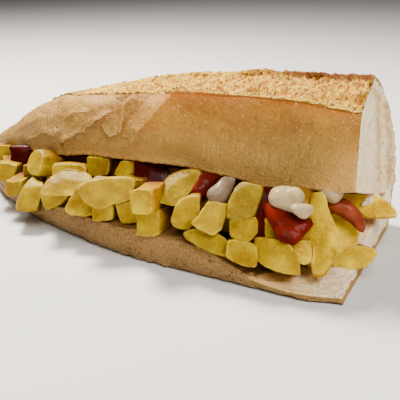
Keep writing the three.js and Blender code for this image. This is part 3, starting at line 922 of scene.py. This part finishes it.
def crumb_and_brown(at):
    """Where crumb shows and where the bread is brown, partly as painted shade, each from 0 to 1."""
    x, up, around, wavy, rough, cut = at.x, at.up, at.around, at.wavy, at.rough, at.cut
    y, z = at.points[:, 1:].T
    rim = 2.4 * fall(22, 34, z) - ease(12, 28, y) * ease(22, 34, z)
    pressed = ease(64, 90, x + 10 * wavy + 5 * rough)
    crumb = cut * ease(0.4, 1.6, at.from_rim + rough + 0.7 * wavy - rim)
    crumb = np.where(at.inside, np.maximum(pressed, ease(0.1, 0.16, around + 0.02 * rough)), crumb)
    crumb = np.where(at.edge, pressed * ease(0.5, 0.85, at.depth + 0.1 * rough), crumb)

    # Brown under the ridge, along the back of the burst strip and down the cut face, and painted shade beside
    # the swell and in the folds of the cut face
    reach = lerp(1.2, 3.4, ease(-4, 30, x))
    ridge = np.exp(-40 * (1 - up) / reach) * at.s.split * (1 - 0.4 * ease(0.99, 1, up))
    # Painted shade beside the swell line, on its proud side
    foot = np.exp(np.minimum(at.swell, 0) / 4) * (at.swell < 0) * ease(0.2, 0.5, up) * fall(10, 40, x)
    ear = ease(40, 70, x) * hump(around, BACK_END + 0.03, 0.022)
    strip = ease(20, 90, x) * ease(-0.5, 0.4, wavy) * (around > BACK_END)
    brown = at.front * (1.1 * ridge + 0.45 * foot) + at.outside * np.maximum(1.2 * ear, 0.3 * strip)
    # Painted shade: a dark line in each fold of the cut face, and past it a tan that is partly the crumb's
    # own colour and partly painted shade
    fold, beyond = np.full(cut.sum(), 12.0), np.zeros(cut.sum())
    for signed, past in at.fold_lines:
        fold = np.minimum(fold, np.abs(signed - 0.3) + past)
        beyond += ease(-0.3, 0.6, signed) * hump(past, 0, FOLD_ENDS)
    stained = ease(8, 22, y) * fall(26, 34, z) * ease(16, 22, z) * ease(-0.2, 0.4, wavy)
    beyond *= 0.16 + 0.2 * ease(-0.2, 0.5, at.fibres[cut])
    brown[cut] = 0.8 * hump(fold, 0, 0.7) + beyond + 0.5 * stained[cut]
    return crumb, brown


def colour_bread(bread, at):
    """Keeps on the bread where each of its colours shows, from 0 to 1, and the lines of its creases."""
    x, up, wavy, rough, swell = at.x, at.up, at.wavy, at.rough, at.swell
    front, edge, cut, inside, outside = at.front, at.edge, at.cut, at.inside, at.outside
    crumb, brown = crumb_and_brown(at)
    from_lip = up * UPPER_TALL
    # The slope on the left of the swell line, which gets painted light
    lit_swell_slope = (swell > 0) * ease(0.3, 0.7, up)

    # Thin pale crust: along the lip and the creases, at the cut end, the back and the tip. Painted light: a
    # paler band on the lit slope beside the swell, and on the upper front towards the tip
    pale = 0.5 * hump(from_lip, 0, 1.6) + 0.35 * hump(from_lip, 0, 9) * ease(-50, 0, x) * fall(50, 80, x)
    pale += 0.2 * np.exp(-np.maximum(swell, 0) / 5) * lit_swell_slope + 0.08 * fall(-40, 10, x) * ease(0.45, 0.9, up)
    pale += 0.9 * ease(80, 100, x + 3 * wavy) * fall(0.15, 0.7, up + 0.1 * wavy)
    pale = front * (pale + 0.45 * ease(58, 84, x + 3 * wavy) * fall(0.02, 0.3, up))
    pale += outside * (0.4 * ease(0, 0.6, wavy) + 0.15 * fall(-80, -20, x)) + 0.8 * edge * ease(0, 70, x)
    pale += 0.2 * fall(TIP_X, -98, x) * (front | outside) + 0.6 * cut * fall(22, 34, at.points[:, 2])

    # Crumb that was toasted, and flour and pale crests on the burst strip, pale on its raised crumples partly
    # as a painted highlight
    patches = 0.45 * (x > 60) * ease(0.15, 0.6, rough)
    toasted = 0.3 * edge + 0.1 * inside
    toasted += (edge | inside) * (0.75 * fall(74, 96, x + 8 * wavy) + patches)
    toasted[cut] = (ease(-0.5, 0.5, wavy) * np.exp(-np.maximum(at.from_rim + rough, 0) / 1.6))[cut]

    crest = 0.9 * hump(1 - at.around, 0, 0.014) * outside * (at.bloom > 0)
    crumpled = np.maximum(fall(-45, 5, x) * ease(-0.6, 0.4, wavy), 0.3 * ease(0.9, 1.5, at.crests))
    dusted = front * ease(-85, -60, x) * (swell > 0) * ease(0.3, 0.75, up)

    # Duller crust low on the front, and skin that folded over itself. Painted light and shade: the front
    # lighter in its middle, darker towards the tip and low near the cut end, and all but the front darker
    dull = 0.8 * fall(0.0, 0.75, up) + 0.25 * fall(-75, -15, x) * fall(0.6, 0.95, up)
    dull = front * (dull + 0.3 * ease(40, 80, x) * fall(0.5, 0.9, up)) + 0.4 * edge * fall(-50, 20, x)
    light = 1 + 0.14 * hump(x, 22, 22) * ease(0.1, 0.5, up) - 0.17 * fall(-45, 0, x)
    light -= 0.15 * hump(x, 80, 16) * fall(0.55, 0.85, up)

    wrinkle = front * fall(-20, 15, x) * ease(0.04, 0.2, up) * fall(0.7, 1, up)
    up_back = ease(BASE_END, 0.45, at.around) * fall(0.7, BACK_END, at.around)
    wrinkle += 0.6 * outside * up_back * fall(-30, 60, x)

    zones = [crumb, at.bloom, brown, np.ones(len(x))]
    keep(bread, "zones", np.clip(np.stack(zones, -1), 0, 1))
    for name, values in {
        "pale": np.clip(pale, 0, 1),
        "toasted": np.clip(toasted, 0, 1),
        "floury": np.maximum(np.where(at.bloom > 0.02, crumpled, dusted), crest),
        "dull": np.clip(dull * (1 - 0.8 * front * ease(78, 98, x)), 0, 1),
        "painted_lightness": np.where(front, light, 0.8),
        "crease": at.crease,
        "creased": at.creased,
        "coarse": edge + inside * fall(0.0, 0.12, at.around) * (at.around < 0.5),
        "wrinkle": wrinkle,
    }.items():
        keep(bread, name, values)


def make_bread():
    bread = loaf_mesh()
    at = places_on(bread)
    at.points = at.points + normals(bread) * (crust_lift(at) + crumb_lift(at))[:, None]
    bend(at)
    place(bread, at.points)
    colour_bread(bread, at)
    finish(bread, BREAD, "bread", "bread")


def block(wide, high):
    """The outline of a plain sliced end."""
    return [(-wide / 2, -high / 2), (-wide / 2, high / 2), (wide / 2, high / 2), (wide / 2, -high / 2)]


# Fries, each by a spot on its front face, the heading and dip of its length in degrees, the face's turn
# sideways and back at its top, its length, how soft its corners are, how much ketchup is on it and its
# painted light and shade, a factor on its colour that is partly also how deeply it was cooked. Then the fold
# in its face, with how steeply it falls away on either side, and the face's outline, both given by pixels of
# the photograph.
FRIES = {
    "fries_on_the_lip": [
        ((-72.5, -24, 18), (20, -5), (0, 0), 34, 0.1, 0, 0.95, (),
         [(-4, 164), (8, 164), (17, 166), (13, 178), (6, 181), (-4, 181)]),
        ((-60.5, -32.5, 15.8), (12, 0), (0, 0), 30, 0.06, 0, 0.85, (),
         [(6, 181), (13, 183), (21.5, 181), (21, 187), (18.5, 194), (8, 196.5), (6, 189)]),
        ((-45, -41, 13), (30, -20), (0, 22), 12, 0.07, 0, 0.7, ([(21, 187), (30, 186), (43, 187)], 0.6, 0),
         [(15.5, 208), (17, 202), (22.5, 189), (28, 181), (32.5, 175.5), (37, 181), (43, 184), (42.5, 190),
          (39.5, 200), (37, 210), (32, 212), (18, 210)]),
        ((-14, -45, 18.5), (30, -20), (0, 18), 12, 0.05, 0, 1.0, (),
         [(64, 209.5), (70, 198), (76.5, 187), (90, 190), (94, 200), (93, 212.5), (84, 215), (70, 213.5)]),
        ((0.5, -43.5, 17.5), (14, -8), (0, 0), 30, 0.03, 0, 1.05, (),
         [(91.5, 204), (112, 204), (112.5, 219.5), (104, 220.5), (93, 221.5)]),
        ((9.5, -41, 18), (18, -8), (0, 0), 30, 0.04, 0, 1.0, (),
         [(115.5, 204.5), (131, 203), (137, 213), (136.5, 223), (121.5, 223.5), (118.5, 213)]),
        ((22.5, -46, 18.3), (8, -6), (0, 4), 30, 0.04, 0, 0.95, (),
         [(137, 211), (157, 210), (159.5, 221), (157.5, 235), (147, 236.5), (137, 235.5)]),
        ((40.5, -44, 22), (22, -10), (0, 10), 30, 0.12, 0, 1.0,
         ([(176, 222), (186, 218), (196, 219)], 0, 0.8),
         [(171, 221), (176, 206), (182, 200), (192, 196), (200, 196), (199, 214), (193, 227), (187.5, 232.5),
          (179, 230.5), (171.5, 226.5)]),
        ((50, -46, 16.8), (30, -20), (-12, 14), 10, 0.05, 0, 0.7, (),
         [(184, 232), (197, 228), (215, 233), (226, 238.5), (230.5, 244.5), (229, 252), (226, 256.5),
          (214, 253), (201, 246), (186.5, 238)]),
        ((64, -47, 15), (30, -20), (-16, 0), 11, 0.05, 0, 0.95, (),
         [(228, 244), (231, 240.5), (247, 242), (256, 246.5), (257.5, 260), (255, 267.5), (243, 265.5),
          (226, 256.5)]),
        ((79, -44.5, 14), (30, -20), (-20, 8), 11, 0.05, 0, 1.05, ([(268, 238), (266, 264)], 0, 0.5),
         [(255.5, 241), (258, 238.5), (275, 239.5), (287.5, 242), (296, 253), (300, 262), (300.5, 275.5),
          (291, 275), (277, 271.5), (267, 267), (256.5, 261)]),
        ((88, -37, 15.5), (30, -20), (0, 12), 14, 0.08, 0, 1.5, (),
         [(292, 243.5), (303, 241), (318, 241), (317, 250), (311, 261), (305, 265), (300, 263), (296, 252)]),
        ((98, -16, 15.2), (30, -20), (0, 15), 24, 0.08, 0.14, 1.9, (),
         [(331, 212), (338, 213), (350, 221.5), (360, 232), (358, 241), (353.5, 250.5), (342, 253),
          (333, 250)]),
        ((96, -20, 11.4), (30, -20), (-10, 6), 9, 0.08, 0, 1.4, (),
         [(332, 266), (334, 254), (343, 249), (357, 246), (367, 246.5), (376, 250), (378, 254), (372, 261.5),
          (365, 267.5), (346, 269)]),
        ((93, 6.7, 19.2), (30, -20), (-25, 14), 9, 0.05, 0, 2.1, (),
         [(341, 193.5), (359, 194.5), (376, 196), (388, 202), (397, 211), (398, 216), (388, 217),
          (366, 216), (358, 209), (349.5, 201.5)]),
    ],
    "fries_stacked": [
        ((-28, -45, 20.5), (30, -20), (0, 30), 13, 0.05, 0, 0.78, ([(49, 184), (60, 179), (88, 181)], 0.5, 0),
         [(38.5, 194.5), (42.5, 189), (45, 182), (54, 176), (62, 171), (70, 170), (80, 172.5), (91, 177),
          (91.5, 183), (84, 190.5), (73, 195.5), (55, 196.5), (44, 196)]),
        ((-28, -45, 20.5), (30, -20), (0, -30), 13, 0.03, 0.05, 0.75, (),
         [(39, 194), (54, 196), (69, 195), (64, 200.5), (56, 206), (47, 210.5), (43.5, 205)]),
        ((-6.5, -50.5, 27.3), (30, -20), (8, 14), 11, 0.09, 0, 0.98, (),
         [(75.5, 189), (79, 185.5), (92, 181), (104, 179), (124, 178), (135, 180), (136.5, 186), (131, 193),
          (130.5, 200.5), (118, 204), (112, 204), (107.5, 208), (96.5, 210), (89, 206), (82.5, 200.5),
          (78, 195)]),
        ((24, -49.5, 28), (8, -4), (0, 0), 13, 0.03, 0, 1.2, (),
         [(129.5, 191.5), (137, 190), (150.5, 190), (151, 200), (150.5, 209.5), (147, 214.5), (134, 214),
          (131, 206)]),
        ((51.5, -44, 23.8), (28, -18), (0, 14), 30, 0.03, 0, 1.08, (),
         [(190, 224), (198.5, 217), (204, 209), (207, 203), (214, 201.5), (227, 205), (225.5, 216.5),
          (221, 229), (213.5, 236), (206, 233), (197, 228)]),
        ((63, -38.5, 21), (26, -14), (0, 0), 30, 0.06, 0, 1.4, (),
         [(230, 221), (234, 218), (252, 215.5), (258, 221), (257.5, 233), (249.5, 241.5), (238, 242),
          (231, 235.5)]),
        ((76, -34, 22), (26, -14), (0, 0), 26, 0.06, 0.15, 1.8, (),
         [(265, 218), (272, 220.5), (278, 229), (279, 241), (271, 241), (266, 237)]),
        ((88, -30, 24), (30, -20), (0, 10), 14, 0.1, 0.5, 1.1, (),
         [(297, 216), (312, 215), (314, 228), (318, 243), (297, 245), (296, 232)]),
        ((91.8, -31.4, 26.8), (28, -47), (0, 0), 8.5, 0.04, 0, 1.45,
         ([(321, 182), (326, 215), (333, 240)], 0.2, 0.7),
         [(309.5, 188.5), (312.5, 198), (313, 207), (310, 218), (312, 232), (316.5, 244), (315, 258),
          (314.5, 267), (320.5, 270), (328.5, 268), (333, 259), (336, 254), (342.5, 250.5), (343.5, 241),
          (337.5, 229), (332, 217), (328, 205), (326, 194), (325, 190)]),
        ((90, -19, 31), (30, -20), (0, 0), 9, 0.1, 0.45, 1.0, (),
         [(299, 188), (314, 189), (316, 207), (304, 207), (301.5, 195)]),
    ],
    "fries_under_the_lip": [
        ((-87, -13, 21.5), (24, -8), (0, 8), 24, 0.12, 0, 0.9, (),
         [(-4, 146), (6, 145.5), (11.5, 147), (12, 157), (8.5, 163.5), (-4, 165)]),
        ((-48, -27, 26.5), (-14, -16), (0, 26), 30, 0.2, 0, 0.75, (),
         [(27.5, 163), (28, 171), (32, 175), (37, 176), (40, 170.5), (42.5, 156), (40, 150), (33, 151),
          (29, 157)]),
        ((-33, -33, 26.5), (24, -14), (0, 20), 20, 0.05, 0, 0.8, (),
         [(52, 168), (54, 165), (65, 164.5), (82, 165.5), (86.5, 169.5), (86, 178), (57, 181), (52.5, 178)]),
        ((-14.5, -20, 29.5), (10, -8), (0, 10), 24, 0.06, 0.05, 0.75, (),
         [(87, 158), (104, 158.5), (109.5, 160), (109, 167), (107, 175), (97, 176), (87.5, 175.5)]),
        ((-1.5, -22, 30.3), (18, -8), (0, 12), 24, 0.06, 0.1, 1.05, (),
         [(113.5, 175), (116, 169.5), (119.5, 164.5), (121, 161.5), (137, 162), (137.5, 169), (136, 180),
          (127, 178.5), (121, 177)]),
        ((31.5, -38, 31.4), (24, -18), (0, 26), 26, 0.08, 0, 0.64,
         ([(159, 203), (166, 190), (181, 177)], 0.8, 0),
         [(157, 201), (160, 191.5), (165, 181.5), (172, 176), (181, 172), (192, 170.5), (201.5, 172.5),
          (198, 181), (191.5, 191), (184, 197), (179, 205), (175, 207), (162, 203.5)]),
        ((65, -40, 31), (24, -16), (0, 24), 26, 0.07, 0, 0.56, ([(229, 210), (236, 193), (250, 181)], 0.6, 0),
         [(226.5, 216), (227.5, 203), (232, 194), (236, 187), (242, 181.5), (255, 184.5), (262.5, 187.5),
          (261, 196), (256.5, 208), (252.5, 217), (241, 220), (230, 219)]),
    ],
}
# Fries that hide behind the others, fill the gaps and close the tip: spot, heading, width, height, length
HIDDEN_FRIES = {
    "fries_stacked": [
        ((-56, -24, 19), 10, 10, 9, 26),
        ((-40, -26, 16.5), 5, 10, 9, 30),
        ((-24, -32, 17.5), 16, 10, 10, 26),
        ((-8, -32, 18), -4, 10, 9, 30),
        ((6, -30, 24), 12, 9, 10, 24),
        ((16, -26, 21), 6, 10, 9, 26),
        ((36, -29, 20), -6, 9, 9, 26),
        ((46, -35, 20), 12, 10, 10, 26),
        ((57, -35, 22), 4, 9, 10, 24),
        ((72, -26, 19), -5, 9, 9, 26),
    ],
    "fries_under_the_lip": [
        ((-82, -16.5, 17.6), -40, 9, 8.5, 30),
        ((-96, -3, 18), -80, 9, 8.5, 34),
    ],
}
# Hidden fries are darker, as painted shade between the front ones, and a little maroon, partly ketchup and
# partly painted shade
HIDDEN_SOFT, HIDDEN_KETCHUP_AND_SHADE, HIDDEN_SHADE = 0.08, 0.2, 0.7
FRY_CUTS = 13
CLOSER_CELLS = 0.28  # a fry's cells lie closer together towards its edges, by this share
CROWDED = 0.55  # pieces press on their neighbours, so each reaches this much past its outline
RING_SPOTS = 240
SHARP_CORNER, SOFT_CORNER = 0.2, 9  # how far corners are rounded at no softness, and how much more at 1
SIDES_SINK = 0.05  # sides are hollow by this share
END_NARROWER, END_REACH = 0.06, 0.5  # sliced ends are narrower by this share, over this depth
FACE_DISHED = 0.3
FRY_BOW = 0.9
FRY_DRAWS = 11
# Unevenness of each kind of piece: size and height
FRY_LUMPS, FRY_GRAIN, CORE_LUMPS = (5, 0.6), (1.4, 0.22), (6, 1.6)
SAUCE_RIPPLES, SCRAP_LUMPS = (4, 0.5), (1.8, 1.2)


def fine_cube(name, cuts):
    """A cube cut up finely, to be shaped further."""
    deselect()
    bpy.ops.mesh.primitive_cube_add(size=1)
    cube = bpy.context.object
    cube.name = cube.data.name = name
    bpy.ops.object.mode_set(mode="EDIT")
    bpy.ops.mesh.select_all(action="SELECT")
    bpy.ops.mesh.subdivide(number_cuts=cuts)
    bpy.ops.object.mode_set(mode="OBJECT")
    return cube


def turned(points, heading, dip):
    """Points dipped about X, then headed about Z, in degrees."""
    points = points.astype(float)
    for angle, (i, j) in ((dip, (1, 2)), (heading, (0, 1))):
        c, s = math.cos(math.radians(angle)), math.sin(math.radians(angle))
        a, b = points[:, i].copy(), points[:, j].copy()
        points[:, i], points[:, j] = a * c - b * s, a * s + b * c
    return points


def slopes(side, top):
    return math.tan(math.radians(side)), math.tan(math.radians(top))


def face_outline(pixels, spot, way, slant):
    """An outline read off the photograph, in millimetres across and up a face that is turned."""
    across, along, up = turned(np.eye(3), *way)
    side, top = slopes(*slant)
    return traced(pixels, spot, across + side * along, up + top * along)


def outline_reach(outline, soft):
    """An outline's middle, its half sizes, and its reach from the middle by direction."""
    ring = np.array([*outline, outline[0]], float)
    walked = np.concatenate([[0], np.cumsum(np.hypot(*np.diff(ring, axis=0).T))])
    spots = np.linspace(0, walked[-1], RING_SPOTS, endpoint=False)
    ring = np.stack([np.interp(spots, walked, ring[:, i]) for i in (0, 1)], -1)
    window = 1 + int((SHARP_CORNER + SOFT_CORNER * soft) / walked[-1] * (RING_SPOTS // 2))
    ring = np.mean([np.roll(ring, i, 0) for i in range(-window, window + 1)], 0)
    middle = ring.mean(0)
    away = ring - middle
    away *= 1 + CROWDED / np.hypot(*away.T)[:, None]
    turn = np.arctan2(away[:, 1], away[:, 0])
    order = np.argsort(turn)
    return middle, np.abs(away).max(0), (turn[order], np.hypot(*away.T)[order])


def shape_fry(cube, chance, spot, way, slant, long, soft, ketchup_and_shade, shade, fold, outline):
    """A fry shaped from a cube: its face follows an outline, and its length runs back from there."""
    piece = cube.copy()
    piece.data = cube.data.copy()
    bpy.context.collection.objects.link(piece)
    u, along, w = (corners(piece) * 2).T
    back = (along + 1) / 2
    on_end = np.abs(along) > 0.999
    on_face = along < -0.999
    u, w = ((1 - CLOSER_CELLS) * v + CLOSER_CELLS * np.sin(v * np.pi / 2) for v in (u, w))
    square = np.maximum(np.abs(u), np.abs(w))
    lesser = np.minimum(np.abs(u), np.abs(w))
    middle, (half_wide, half_high), (turns, reaches) = outline_reach(outline, soft)
    turn = np.arctan2(w * half_high, u * half_wide)
    reach = square * np.interp(turn, turns, reaches, period=2 * np.pi)
    sink = SIDES_SINK * (1 - lesser**2) * (~on_end)
    across, up = (reach * (1 - sink) * part(turn) for part in (np.cos, np.sin))
    a, b = middle[0] + across, middle[1] + up
    deep = long * back**1.4
    side, top = slopes(*slant)
    lean = side * a + top * b
    if fold:
        line, fall_left, fall_right = fold
        away = line_side(a, b, line)[0]
        lean += fall_left * np.maximum(away, 0) + fall_right * np.maximum(-away, 0)
    narrower = 1 - END_NARROWER * hump(deep, 0, END_REACH)
    bow_a, bow_b = (chance.uniform(-FRY_BOW, FRY_BOW) for _ in range(2))
    dished = (FACE_DISHED * (0.5 - square**2) - 2.0 * soft * (1 - square**2)) * on_face
    points = np.stack([
        middle[0] + across * narrower + bow_a * np.sin(np.pi * back),
        deep + lean * (1 - share(deep, 0, long * 0.8)) + dished,
        middle[1] + up * narrower + bow_b * np.sin(np.pi * back),
    ], -1)
    place(piece, turned(points, *way) + spot)
    corner = ease(0.9, 1.0, lesser / np.maximum(square, 1e-6))
    near_end = hump(deep, 0, 0.7)
    edge = np.where(on_end, ease(0.84, 1, square), np.maximum(corner, near_end))
    keep(piece, "edge", np.clip(edge, 0, 1))
    # Each fry is deeper in colour towards one of its corners, browner on its sides than on its face, partly
    # as painted shade, and browner further back along its length, as painted shade deeper in the heap
    facing = chance.uniform(0, 2 * np.pi)
    towards_corner = 0.45 * (math.cos(facing) * across / half_wide + math.sin(facing) * up / half_high)
    fried = 0.5 * (~on_face) * share(deep, 0.3, 3) + 0.3 * share(deep, 4, 14)
    keep(piece, "tone", np.clip(0.16 + towards_corner + fried, 0, 1))
    keep(piece, "shade", np.full(len(u), shade))
    # Ketchup on the fry, and painted shade: maroon further back, deeper in the heap
    keep(piece, "ketchup_and_shade", np.clip(ketchup_and_shade + 0.9 * ease(6, 15, deep), 0, 1))
    return piece


def rough_up(piece, size, high):
    """Cloudy unevenness of a size and height in millimetres."""
    pattern = bpy.data.textures.new(f"{piece.name}_{size}", "CLOUDS")
    pattern.noise_scale = size * MM
    apply(piece, "DISPLACE", texture=pattern, strength=high * MM, mid_level=0.5)


def make_fries():
    cube = fine_cube("uncut_fry", FRY_CUTS)
    chance = random.Random(FRY_DRAWS)
    heaps = []
    for name, fries in FRIES.items():
        made = []
        for spot, way, slant, long, soft, ketchup_and_shade, shade, fold, pixels in fries:
            spot = np.array(spot)
            if fold:
                fold = (face_outline(fold[0], spot, way, slant), *fold[1:])
            outline = face_outline(pixels, spot, way, slant)
            made.append(shape_fry(cube, chance, spot, way, slant, long, soft, ketchup_and_shade, shade, fold, outline))
        for spot, heading, wide, high, long in HIDDEN_FRIES.get(name, []):
            made.append(shape_fry(
                cube, chance, spot, (heading, 0), (0, 0), long,
                HIDDEN_SOFT, HIDDEN_KETCHUP_AND_SHADE, HIDDEN_SHADE, (), block(wide, high),
            ))
        heap = join(name, made)
        apply(heap, "SUBSURF", levels=1, render_levels=1)
        rough_up(heap, *FRY_LUMPS)
        rough_up(heap, *FRY_GRAIN)
        heaps.append(heap)
    bpy.data.objects.remove(cube)
    return heaps


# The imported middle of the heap, as the solid has it
CORE_FROM_X = -88
CORE_TO_X = 84
CORE_RECESS = 5
CORE_SHORT = 14
CORE_CLEAR = 1.3
CORE_CUTS = 47
CORE_SHADE = 0.7


def make_core():
    core = fine_cube("fries_packed_middle", CORE_CUTS)
    a, b, c = (corners(core) + 0.5).T
    x = lerp(CORE_FROM_X, CORE_TO_X, a)
    s = station(x)
    y = lerp(s.upper_lip[0] + CORE_RECESS, s.hinge[0] - CORE_SHORT, b)
    low = lower_face(s, (y - s.lower_lip[0]) / (s.hinge[0] - s.lower_lip[0]))[1] + CORE_CLEAR
    high = upper_face(s, (s.hinge[0] - y) / (s.hinge[0] - s.upper_lip[0]))[1] - CORE_CLEAR
    place(core, np.stack([x, y, lerp(low, high, c)], -1))
    keep(core, "edge", np.zeros(len(a)))
    # The packed middle carries painted shade, as deep in the heap: fully browned, darker, and maroon in
    # patches that are partly ketchup
    keep(core, "tone", np.ones(len(a)))
    keep(core, "shade", np.full(len(a), CORE_SHADE))
    keep(core, "ketchup_and_shade", 0.25 + 0.6 * ease(-0.3, 0.5, fractal(corners(core) / MM, 14, 2)))
    rough_up(core, *CORE_LUMPS)
    return core


# Sauces, each from one or more pats that run together: a spot in its middle plane, the plane's turn
# sideways and back at its top in degrees, thickness, how soft its edge is, and the outline by pixels of
# the photograph.
SAUCE_HEADING, SAUCE_DIP = 30, -20
SAUCES = {
    "ketchup_tip": [
        ((-69, -12, 23.5), (0, 0), 6, 0.1,
         [(9, 146), (37, 146), (32, 155), (28, 162), (21, 166), (9, 165), (12, 157)]),
    ],
    "ketchup_middle": [
        ((14, -18, 29), (0, 20), 5, 0.06,
         [(134.5, 160), (169, 161), (189, 165), (180, 173), (167, 184), (160, 189), (145, 192),
          (135.5, 192)]),
    ],
    "ketchup_drop": [
        ((42, -29, 31), (20, 15), 6, 0.1,
         [(201, 172.5), (222, 175), (217, 182), (208, 194), (201, 198), (193, 195), (190, 191), (197, 182)]),
    ],
    "ketchup_pool": [
        ((81, -35.5, 25.5), (0, 30), 6, 0.05,
         [(261, 203), (271, 200), (289, 208), (310, 217), (313, 225), (304, 234), (299, 241), (295, 245),
          (282, 242), (277, 238), (273, 228), (266, 216)]),
        ((70, -29, 25), (0, 10), 5, 0.08,
         [(257, 191), (261, 187), (276, 187), (272, 197), (271, 212), (268, 228), (270, 241), (256, 238),
          (255, 217), (252, 210)]),
    ],
    "ketchup_end": [
        ((97, -16, 27.5), (0, 0), 6, 0.06,
         [(326, 203.5), (334, 200), (343, 198.5), (351, 203), (359.5, 211.5), (365, 222.5), (365, 230),
          (361, 234), (355, 228), (350, 221.5), (338.5, 215), (331.5, 212)]),
    ],
    "mayonnaise_drop": [
        ((50.5, -33, 32.6), (25, 20), 7, 0.12,
         [(217, 185), (223, 177), (236, 178.5), (234, 184), (230, 193), (226.5, 201), (221, 206),
          (214, 204.5),
          (206.5, 196), (210, 189)]),
    ],
    "mayonnaise_dollop": [
        ((77, -31, 33), (0, 10), 11, 0.16,
         [(269, 198.5), (271, 191.5), (275, 188), (283, 187), (292, 187.5), (296, 195), (299, 209),
          (297, 214.5), (288, 211), (277, 207), (271, 204)]),
        ((83, -30.5, 33), (0, 10), 9, 0.16,
         [(287, 189.5), (294, 187.5), (299, 189), (303.5, 194), (303.5, 201), (298, 205.5), (291, 205)]),
        ((86, -35, 31.6), (0, 10), 5, 0.1,
         [(290, 208), (296, 205), (309, 205), (314, 207.5), (312, 213), (306, 218.5), (301, 217.5),
          (296, 214)]),
    ],
    "mayonnaise_end": [
        ((92, -20, 32.4), (0, 0), 6, 0.1,
         [(319, 188), (335, 188), (342, 191), (342.5, 196), (338, 201), (333, 203), (328, 201), (324, 196)]),
    ],
    "mayonnaise_smear": [
        ((-8, -31, 26), (0, 30), 1.8, 0.1,
         [(92, 180), (94, 176), (99, 175), (109, 177.5), (116, 176.5), (126, 178), (114, 180.5), (99, 181)]),
    ],
}
SAUCE_VOXEL = 0.45


def pat_of_sauce(spot, slant, thick, soft, pixels):
    """A pat of sauce: a ball pressed to an outline, thick in its middle."""
    bpy.ops.mesh.primitive_uv_sphere_add(segments=48, ring_count=24, radius=1)
    piece = bpy.context.object
    ball = corners(piece)
    way = (SAUCE_HEADING, SAUCE_DIP)
    middle, _, (turns, reaches) = outline_reach(face_outline(pixels, spot, way, slant), soft)
    turn = np.arctan2(ball[:, 1], ball[:, 0])
    reach = np.interp(turn, turns, reaches, period=2 * np.pi) * np.minimum(1, np.hypot(*ball[:, :2].T))
    a, b = middle[0] + reach * np.cos(turn), middle[1] + reach * np.sin(turn)
    side, top = slopes(*slant)
    place(piece, turned(np.stack([a, side * a + top * b - ball[:, 2] * thick / 2, b], -1), *way) + spot)
    return piece


def make_sauces():
    for name, pats in SAUCES.items():
        deselect()
        piece = join(name + "_squeezed", [pat_of_sauce(*pat) for pat in pats])
        apply(piece, "REMESH", mode="VOXEL", voxel_size=SAUCE_VOXEL * MM)
        apply(piece, "SMOOTH", factor=0.6, iterations=20)
        rough_up(piece, *SAUCE_RIPPLES)
        kind = name.split("_")[0]
        node = [name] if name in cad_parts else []
        finish(piece, SAUCE_COATS.get(name, SAUCE_COATS[kind]), kind, *node)


# A scrap of crumb that fell on the fry at the cut end, with the same values as a pat of sauce
SCRAP = ((93, 5.2, 19.8), (0, 10), 3, 0.03,
         [(361.5, 204.5), (365, 201), (367.5, 197.5), (373.5, 192.5), (377, 193.5), (380, 199), (373, 199),
          (372, 203.5), (365, 205.5)])


def make_scrap():
    deselect()
    scrap = pat_of_sauce(*SCRAP)
    scrap.name = scrap.data.name = "crumb_scrap"
    rough_up(scrap, *SCRAP_LUMPS)
    keep(scrap, "zones", np.tile((1, 0, 0, 1), (len(scrap.data.vertices), 1)))
    finish(scrap, BREAD, "bread")


def make_camera():
    deselect()
    bpy.ops.object.camera_add(location=(EYE + SHIFT) * MM)
    camera = bpy.context.object
    camera.rotation_euler = Vector(-TOWARDS).to_track_quat("-Z", "Y").to_euler()
    camera.data.sensor_width = SENSOR
    camera.data.lens = FOCAL_PIXELS / FRAME_PIXELS * SENSOR
    camera.data.clip_start = 10 * MM
    bpy.context.scene.camera = camera


LIT_SPOT = (0, 0, 0.03)  # metres


def make_light(name, location, size, power, colour):
    """A softbox that faces the loaf. Its location and size are in metres, and its power in watts."""
    bpy.ops.object.light_add(type="AREA", location=location)
    lamp = bpy.context.object
    lamp.name = name
    lamp.data.size = size
    lamp.data.energy = power
    lamp.data.color = linear(colour)[:3]
    lamp.rotation_euler = (Vector(LIT_SPOT) - Vector(location)).to_track_quat("-Z", "Y").to_euler()


def make_stage():
    deselect()
    bpy.ops.mesh.primitive_plane_add(size=6)
    floor = bpy.context.object
    floor.name = floor.data.name = "studio_floor"
    paper, tree, shader = material("studio_paper_matt")
    spot = add(tree, "TexCoord").outputs["Object"]
    cloud = add(tree, "TexNoise", {"Vector": spot, "Scale": 2.0, "Detail": 2.0})
    colour = add(tree, "ValToRGB", {"Fac": cloud}, [(0.3, "#cdcbc8"), (0.7, "#d3d1ce")])
    feed(tree, shader, {"Base Color": colour, "Roughness": 0.9})
    floor.data.materials.append(paper)
    make_light("softbox_above", (-0.34, 0.19, 0.59), 0.2, 22, "#fff6ea")
    make_light("softbox_right", (0.62, -0.28, 0.7), 0.42, 9.7, "#fffdf8")
    make_light("softbox_front", (0.24, -0.52, 0.72), 0.4, 3.3, "#fff8ee")
    make_light("softbox_low", (0.42, -0.46, 0.12), 0.25, 0.35, "#fffaf0")
    world = bpy.data.worlds.new("studio_air")
    world.use_nodes = True
    air = world.node_tree
    feed(air, air.nodes["Background"], {"Color": linear("#e9edf2"), "Strength": 0.1})
    bpy.context.scene.world = world


make_camera()
make_stage()
fry_heaps = make_fries()
core = make_core()
finish(core, POTATO, "fries", "fries")
for heap in fry_heaps:
    finish(heap, POTATO, "fries", "fries")
make_sauces()
make_scrap()
make_bread()
deselect()
